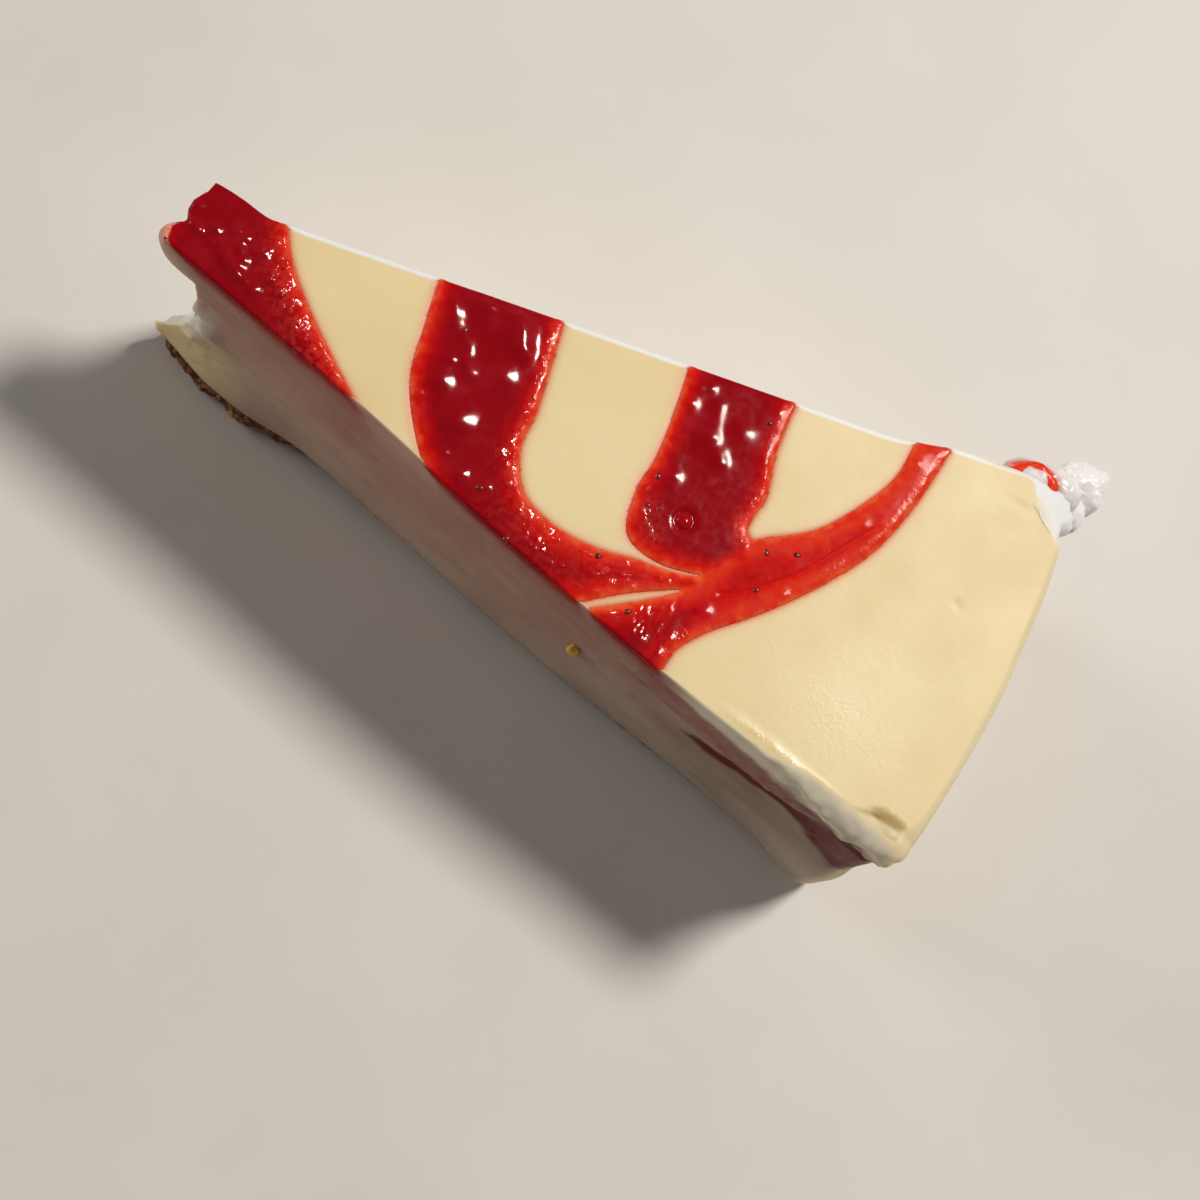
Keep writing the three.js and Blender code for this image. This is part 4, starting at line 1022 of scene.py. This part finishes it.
def sauce_sheet(name, stripes, lumps, grain, cell, material):
    """A sheet on a square grid: the cells whose middle lies in a stripe and inside the walls, with its border
    points moved onto the border along the steepest way, a top, a flat floor and a skirt between them."""
    corners = np.array([p for stripe in stripes for edge in stripe.values() for p in edge])
    low, high = corners.min(0) - 1, corners.max(0) + 1
    x, y = np.meshgrid(np.arange(low[0], high[0], cell), np.arange(low[1], high[1], cell))

    def level(x, y):
        """How far points lie inside the sheet: the lesser of that in its stripes and that in the walls."""
        depth = depth_in(x, y, stripes)
        return np.minimum(depth, inside_walls(x, y) - SAUCE_SETBACK)

    sampled = level(x, y)
    kept = np.zeros((x.shape[0] + 1, x.shape[1] + 1), bool)  # with a border of cells that aren't kept
    kept[1:-1, 1:-1] = (sampled[:-1, :-1] + sampled[:-1, 1:] + sampled[1:, :-1] + sampled[1:, 1:]) > 0
    a, b, c, d = kept[:-1, :-1], kept[:-1, 1:], kept[1:, :-1], kept[1:, 1:]
    used = a | b | c | d
    border = used & ~(a & b & c & d)
    number = np.cumsum(used.ravel()).reshape(used.shape) - 1
    count = int(used.sum())

    flat_x, flat_y, on_border = x[used], y[used], border[used]
    bx, by = flat_x[on_border], flat_y[on_border]
    reach, tiny = 0.9 * cell, 0.02
    for _ in range(3):
        here = level(bx, by)
        slope_x = (level(bx + tiny, by) - level(bx - tiny, by)) / (2 * tiny)
        slope_y = (level(bx, by + tiny) - level(bx, by - tiny)) / (2 * tiny)
        steep = np.maximum(slope_x**2 + slope_y**2, 0.25)
        bx = bx - np.clip(here / steep, -reach, reach) * slope_x
        by = by - np.clip(here / steep, -reach, reach) * slope_y
        reach /= 2
    flat_x[on_border], flat_y[on_border] = bx, by

    depth = depth_in(flat_x, flat_y, stripes)
    grainy = graininess(flat_x, flat_y, depth, stripes, grain)
    z = sauce_top(flat_x, flat_y, depth, lumps, grainy)
    top = np.stack([flat_x, flat_y, z], -1)
    floor = np.stack([flat_x, flat_y, np.full(count, SAUCE_FLOOR)], -1)

    inside = kept[1:-1, 1:-1]
    cells = np.stack([number[:-1, :-1], number[:-1, 1:], number[1:, 1:], number[1:, :-1]], -1)
    lid = cells[inside]
    # the border's edges, anticlockwise: each side of a kept cell whose neighbour across it isn't kept
    sides = [
        cells[inside & ~kept[:-2, 1:-1]][:, [0, 1]], cells[inside & ~kept[1:-1, 2:]][:, [1, 2]],
        cells[inside & ~kept[2:, 1:-1]][:, [2, 3]], cells[inside & ~kept[1:-1, :-2]][:, [3, 0]],
    ]
    edge = np.concatenate(sides)
    # the skirt's rings between top and floor, numbered row after row beyond the top and the floor
    rim_points = np.flatnonzero(on_border)
    place = np.zeros(count, int)
    place[rim_points] = np.arange(len(rim_points))
    rings = [rim_points + count]
    middle_rings = []
    for row in range(1, SKIRT_ROWS):
        share = row / SKIRT_ROWS
        ring = mix(floor[rim_points], top[rim_points], share)
        middle_rings.append(ring)
        rings.append(2 * count + (row - 1) * len(rim_points) + np.arange(len(rim_points)))
    rings.append(rim_points)
    start, end = place[edge[:, 0]], place[edge[:, 1]]
    skirt = [
        np.stack([under[start], under[end], over[end], over[start]], -1)
        for under, over in zip(rings[:-1], rings[1:])
    ]
    points = np.vstack([top, floor, *middle_rings])
    faces = [lid, lid[:, ::-1] + count, *skirt]

    def on_all(values):
        """A number for each point: the top's, the floor's, then the skirt's rings."""
        return np.concatenate([values, values, *[values[rim_points]] * len(middle_rings)])

    in_arc = inside_distance(flat_x, flat_y, closed_outline(THIN_ARC))
    arc = smooth((in_arc + 0.5) / 2) * smooth((flat_y + 15) / 8)
    tail = smooth((flat_x - 62) / 8) * smooth((-7.5 - flat_y) / 2) * (flat_x < 88)
    bright = hump(np.hypot(flat_x - BUBBLE[0], flat_y - BUBBLE[1]), 1.2, 0.6)
    thin = np.maximum(np.maximum(arc, 0.5 * tail), bright)
    shade = depth + 1.5 * smooth((21.5 - flat_x) / 4)  # it stays thick to the tip's torn edge
    by_wall = hump(inside_walls(flat_x, flat_y), 0.9, 0.4)
    dots = smooth((noise(flat_x / 0.5, flat_y / 0.5, 4.4) + 0.5) / 0.25)
    by_edge = dots * smooth((1.2 - depth) / 0.4) * smooth((flat_x - 45) / 2) * (1 - tail)
    # the middle stripe and the arc shine less than the wide stripe
    calm = 0.5 * smooth((flat_x - 72) / 8) * (1 - tail)
    piece = new_piece(
        name, points, faces, material, depth=on_all(shade), thin=on_all(thin), grain=on_all(grainy),
        matte=on_all(np.maximum.reduce([arc * (1 - bright), by_wall, by_edge, calm])),
    )
    piece.data.polygons.foreach_set("use_smooth", np.arange(len(piece.data.polygons)) < len(lid))
    return piece


def sauce_material():
    """Wet sauce, coloured by how far inside its edge it is: orange-red, then bright red, then dark crimson,
    with cloudy places and paler pulp."""
    material, shader, place = new_material("strawberry_sauce", IOR=1.4, Specular_Tint=(1, 0.9, 0.8, 1))
    wander = sums(shader, "MULTIPLY", sums(shader, "SUBTRACT", mottle(shader, place, 1.6), 0.5), 0.7)
    depth = sums(shader, "ADD", point_amount(shader, "depth"), wander)
    depth = sums(shader, "MULTIPLY", depth, between(shader, point_amount(shader, "thin"), 1.0, 0.35))
    within = {"Value": depth, "From Min": 0.0, "From Max": COLOURED_DEPTH}
    share = node(shader, "ShaderNodeMapRange", within)["Result"]
    ramp = node(shader, "ShaderNodeValToRGB", {"Fac": share})["Color"]
    stops = ramp.node.color_ramp.elements
    for i, (at, colour) in enumerate(SAUCE_COLOURS):
        stop = stops.new(at) if 0 < i < len(SAUCE_COLOURS) - 1 else stops[-1 if i else 0]
        stop.position, stop.color = at, paint(*colour)
    cloud = sums(shader, "MULTIPLY", mottle(shader, place, 4.0, 4.0, 0.5, 0.75), 0.3)
    colour = colours(shader, cloud, ramp, paint(182, 34, 48))
    pulp = mottle(shader, place, 0.7, 2.0, 0.4, 0.6)
    pulp = sums(shader, "MULTIPLY", point_amount(shader, "grain"), pulp)
    colour = colours(shader, sums(shader, "MULTIPLY", pulp, 0.3), colour, paint(232, 70, 50))
    matte = point_amount(shader, "matte")
    rough = between(shader, mottle(shader, place, 1.0), 0.09, 0.15)
    grains = mottle(shader, place, 0.5, 1.0, 0.5, 0.75)
    grains = sums(shader, "MULTIPLY", point_amount(shader, "grain"), grains)
    finish_with(
        shader,
        Base_Color=colour,
        Roughness=sums(shader, "ADD", rough, sums(shader, "MULTIPLY", matte, 0.06)),
        Specular_IOR_Level=between(shader, matte, 0.5, 0.1),
        Normal=relief(shader, grains, 0.03),
    )
    return material


wet_sauce = sauce_material()
tip_sauce = sauce_sheet("sauce_at_tip", [TIP_PATCH], TIP_LUMPS, TIP_GRAIN, TIP_CELL, wet_sauce)
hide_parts("strawberry_tip")
swirl_sauce = sauce_sheet("sauce_swirl", STRIPES[1:], SWIRL_LUMPS, SWIRL_GRAIN, SWIRL_CELL, wet_sauce)
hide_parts("strawberry_swirl")

# ----------------------------------------------------------------------------------------------------------
# Strawberry seeds, which came off the fruit as it was cooked and were poured on with the sauce: small, dark
# reddish brown husks, drop-shaped, half sunk in it and lying as they fell.

# where each lies, and its turn in degrees
SEEDS = [
    (97.6, 1.4, 20), (95.3, -4.7, 70), (94.3, -0.2, 130), (79.5, -2.3, 10), (77.3, -10.5, 30),
    (83.3, -14.5, 45), (51.4, 5.0, 80), (61.8, -10.4, 20), (67.2, -14.0, 60), (79.0, 1.4, 110),
    (87.6, 13.8, 60),
]
SEED_HALF = (0.58, 0.4, 0.3)
SEED_SUNK = 0.17
SEED_ROWS, SEED_COLUMNS = 8, 14


def pebbles(name, places, halves, rows, columns, material, roughness=0.0):
    """Small closed drops, one mesh: an ellipsoid narrowed towards one end, turned, with relief if rough."""
    rise = np.linspace(-np.pi / 2 + 0.1, np.pi / 2 - 0.1, rows)[:, None]
    turn = np.arange(columns)[None] / columns * 2 * np.pi
    along = np.cos(rise) * np.cos(turn)
    drop = np.stack([along, np.cos(rise) * np.sin(turn) * (1 - 0.3 * along), np.sin(rise) + 0 * turn], -1)
    drop = drop.reshape(-1, 3) * halves
    points, rings, caps = [], [], []
    for number, (x, y, z, degrees) in enumerate(places):
        turned = drop @ turned_by(degrees)
        lumpy = 1 + roughness * noise(*(turned.T * 1.6 + number + 0.5))[:, None]
        points.append(turned * lumpy + (x, y, z))
        rings.append(ring_faces(rows, columns) + number * rows * columns)
        caps.append(end_faces(rows, columns) + number * rows * columns)
    return new_piece(name, np.vstack(points), [np.vstack(rings), np.vstack(caps)], material)


def seed_material():
    """Seed husk: dark reddish brown, under a film of syrup."""
    material, shader, place = new_material("seed_husk", Roughness=0.25)
    tone = mottle(shader, place, 0.6)
    finish_with(shader, Base_Color=colours(shader, tone, paint(112, 18, 14), paint(146, 36, 24)))
    return material


def seeds():
    """Each seed's height is the sauce's own where it lies, less a little that it has sunk."""
    x, y, degrees = np.array(SEEDS).T
    z = sauce_top(x, y, depth_in(x, y, STRIPES), TIP_LUMPS + SWIRL_LUMPS, 0 * x) - SEED_SUNK
    places = np.stack([x, y, z, degrees], -1)
    return pebbles("seeds", places, SEED_HALF, SEED_ROWS, SEED_COLUMNS, seed_material())


seeds()

# ----------------------------------------------------------------------------------------------------------
# A crumb of golden, butter-baked biscuit that the knife dragged up from the base. It stays stuck to the
# sticky near face, half way up.

STUCK_CRUMB = (83.4, 18.6, 0.5)  # distance along the face, height, how far out
CRUMB_HALF = (0.9, 0.6, 1.3)
CRUMB_TURN, CRUMB_ROUGHNESS = -11, 0.35
CRUMB_ROWS, CRUMB_COLUMNS = 20, 28


def golden_material():
    """Butter-baked biscuit: golden, with darker pits."""
    material, shader, place = new_material("golden_crumb", Roughness=0.7)
    pits = mottle(shader, place, 0.6, 4.0)
    colour = colours(shader, pits, paint(250, 204, 92), paint(226, 164, 60))
    finish_with(shader, Base_Color=colour, Normal=relief(shader, pits, 0.1))
    return material


crumb_s, crumb_z, crumb_out = STUCK_CRUMB
crumb_x = crumb_s * np.cos(HALF_ANGLE) - crumb_out * np.sin(HALF_ANGLE)
crumb_y = -crumb_s * np.sin(HALF_ANGLE) - crumb_out * np.cos(HALF_ANGLE)
crumb = pebbles(
    "stuck_crumb", [(crumb_x, crumb_y, crumb_z, CRUMB_TURN)], CRUMB_HALF, CRUMB_ROWS, CRUMB_COLUMNS,
    golden_material(), CRUMB_ROUGHNESS,
)

# ----------------------------------------------------------------------------------------------------------
# The sauce inside: a thin layer that runs just inside the rim. It comes out as an orange-red line over the
# torn curd at the far rim corner. At the near corner it ends just under the smeared face.

# the middle of the layer's band: x, y, height, then its half width and half height
LAYER_PATH = [
    (121.2, -21.6, 28.0, 0.7, 3.2), (124.6, -14.0, 31.5, 0.8, 2.6), (125.0, 0.0, 34.0, 0.8, 1.6),
    (123.0, 13.0, 35.0, 0.7, 1.2), (117.5, 20.5, 35.4, 0.6, 0.9), (116.8, 25.0, 36.1, 0.6, 0.5),
    (118.3, 26.9, 36.5, 0.6, 0.4), (120.0, 27.3, 36.8, 0.7, 0.4), (121.4, 26.8, 36.8, 0.7, 0.4),
    (122.3, 26.0, 36.6, 0.6, 0.35), (122.7, 25.0, 36.2, 0.4, 0.3),
]
LAYER_COLUMNS = 28
LAYER_GRAIN, LAYER_RELIEF = 0.9, 0.14


def sauce_layer(material):
    """An oval carried along a curve through the path: its half width is level, and its half height upright,
    and relief moves its points out along it."""
    path = smooth_curve(LAYER_PATH)
    middle, half_width, half_height = path[:, :3], path[:, 3:4], path[:, 4:5]
    way = np.gradient(middle, axis=0)
    side = np.stack([way[:, 1], -way[:, 0]], -1) / np.hypot(way[:, 0], way[:, 1])[:, None]
    turn = np.arange(LAYER_COLUMNS)[None] / LAYER_COLUMNS * 2 * np.pi
    x = middle[:, :1] + side[:, :1] * half_width * np.cos(turn)
    y = middle[:, 1:2] + side[:, 1:] * half_width * np.cos(turn)
    z = middle[:, 2:] + half_height * np.sin(turn)
    lumpy = waves(x, y, z, LAYER_GRAIN, LAYER_RELIEF)
    x = x + side[:, :1] * lumpy * np.cos(turn)
    y = y + side[:, 1:] * lumpy * np.cos(turn)
    z = z + lumpy * np.sin(turn)
    points = np.stack([x, y, z], -1).reshape(-1, 3)
    # the oval runs clockwise as seen along the curve, so its faces are turned over
    faces = [make(len(path), LAYER_COLUMNS)[:, ::-1] for make in (ring_faces, end_faces)]
    return new_piece("sauce_layer", points, faces, material, depth=0.45, thin=0.6, grain=0.2, matte=0.9)


layer = sauce_layer(wet_sauce)
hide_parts("strawberry_pocket")

# ----------------------------------------------------------------------------------------------------------
# The light, the floor and the camera: a pale table under one large soft lamp on the far side, which leaves
# the near face in shade, with even light from all round.

# name, the way to it, size and power
LIGHTS = [("lamp", (0.33, 0.42, 0.85), 0.22, 9.4), ("fill", (-0.93, 0.04, 0.35), 0.5, 3.8)]
LIGHT_DISTANCE = 1.1
ROOM_COLOUR = (0.97, 0.97, 1.0, 1.0)
WALL_LIGHT, CEILING_LIGHT = 0.2, 0.05  # from the sides of the room and from above
FLOOR_SIZE = 3.0
LENS, SENSOR_WIDTH = 66.0, 36.0
EYE = (59.888, -76.369, 281.795)
LOOKS_AT = (79.860, -14.887, 40.0)
PICTURE_UP = 117.95  # degrees from +X, seen from above

floor_mesh = bpy.data.meshes.new("table")
half = FLOOR_SIZE / 2
floor_corners = [(-half, -half, 0), (half, -half, 0), (half, half, 0), (-half, half, 0)]
floor_mesh.from_pydata(floor_corners, [], [(0, 1, 2, 3)])
table = bpy.data.objects.new("table", floor_mesh)
bpy.context.scene.collection.objects.link(table)
pale, pale_shader, pale_place = new_material("pale_table", Roughness=0.6)
pale_tone = mottle(pale_shader, pale_place, 30.0)
pale_colour = colours(pale_shader, pale_tone, paint(222, 214, 202), paint(226, 218, 207))
finish_with(pale_shader, Base_Color=pale_colour)
floor_mesh.materials.append(pale)

for name, way, size, power in LIGHTS:
    way = Vector(way).normalized()
    light = bpy.data.lights.new(name, "AREA")
    light.shape, light.size, light.energy = "DISK", size, power
    lamp = bpy.data.objects.new(name, light)
    lamp.location = way * LIGHT_DISTANCE
    lamp.rotation_euler = way.to_track_quat("Z", "Y").to_euler()
    bpy.context.scene.collection.objects.link(lamp)

world = bpy.data.worlds.new("room")
world.use_nodes = True
background = world.node_tree.nodes["Background"]
background.inputs["Color"].default_value = ROOM_COLOUR
looking = node(background, "ShaderNodeTexCoord", {})["Generated"]
way_up = node(background, "ShaderNodeSeparateXYZ", {0: looking})["Z"]
walls = {"Value": way_up, "From Min": 0.1, "From Max": 0.8, "To Min": WALL_LIGHT, "To Max": CEILING_LIGHT}
finish_with(background, Strength=node(background, "ShaderNodeMapRange", walls)["Result"])
bpy.context.scene.world = world

camera_data = bpy.data.cameras.new("camera")
camera_data.lens, camera_data.sensor_width = LENS, SENSOR_WIDTH
camera = bpy.data.objects.new("camera", camera_data)
eye, looks_at = (Vector((np.array(p) - SLICE_MIDDLE) * MM) for p in (EYE, LOOKS_AT))
back = (eye - looks_at).normalized()
up_hint = Vector((np.cos(np.radians(PICTURE_UP)), np.sin(np.radians(PICTURE_UP)), 0))
right = up_hint.cross(back).normalized()
camera.matrix_world = Matrix.Translation(eye) @ Matrix((right, back.cross(right), back)).transposed().to_4x4()
bpy.context.scene.collection.objects.link(camera)
bpy.context.scene.camera = camera
bpy.context.scene.view_settings.view_transform = "Standard"
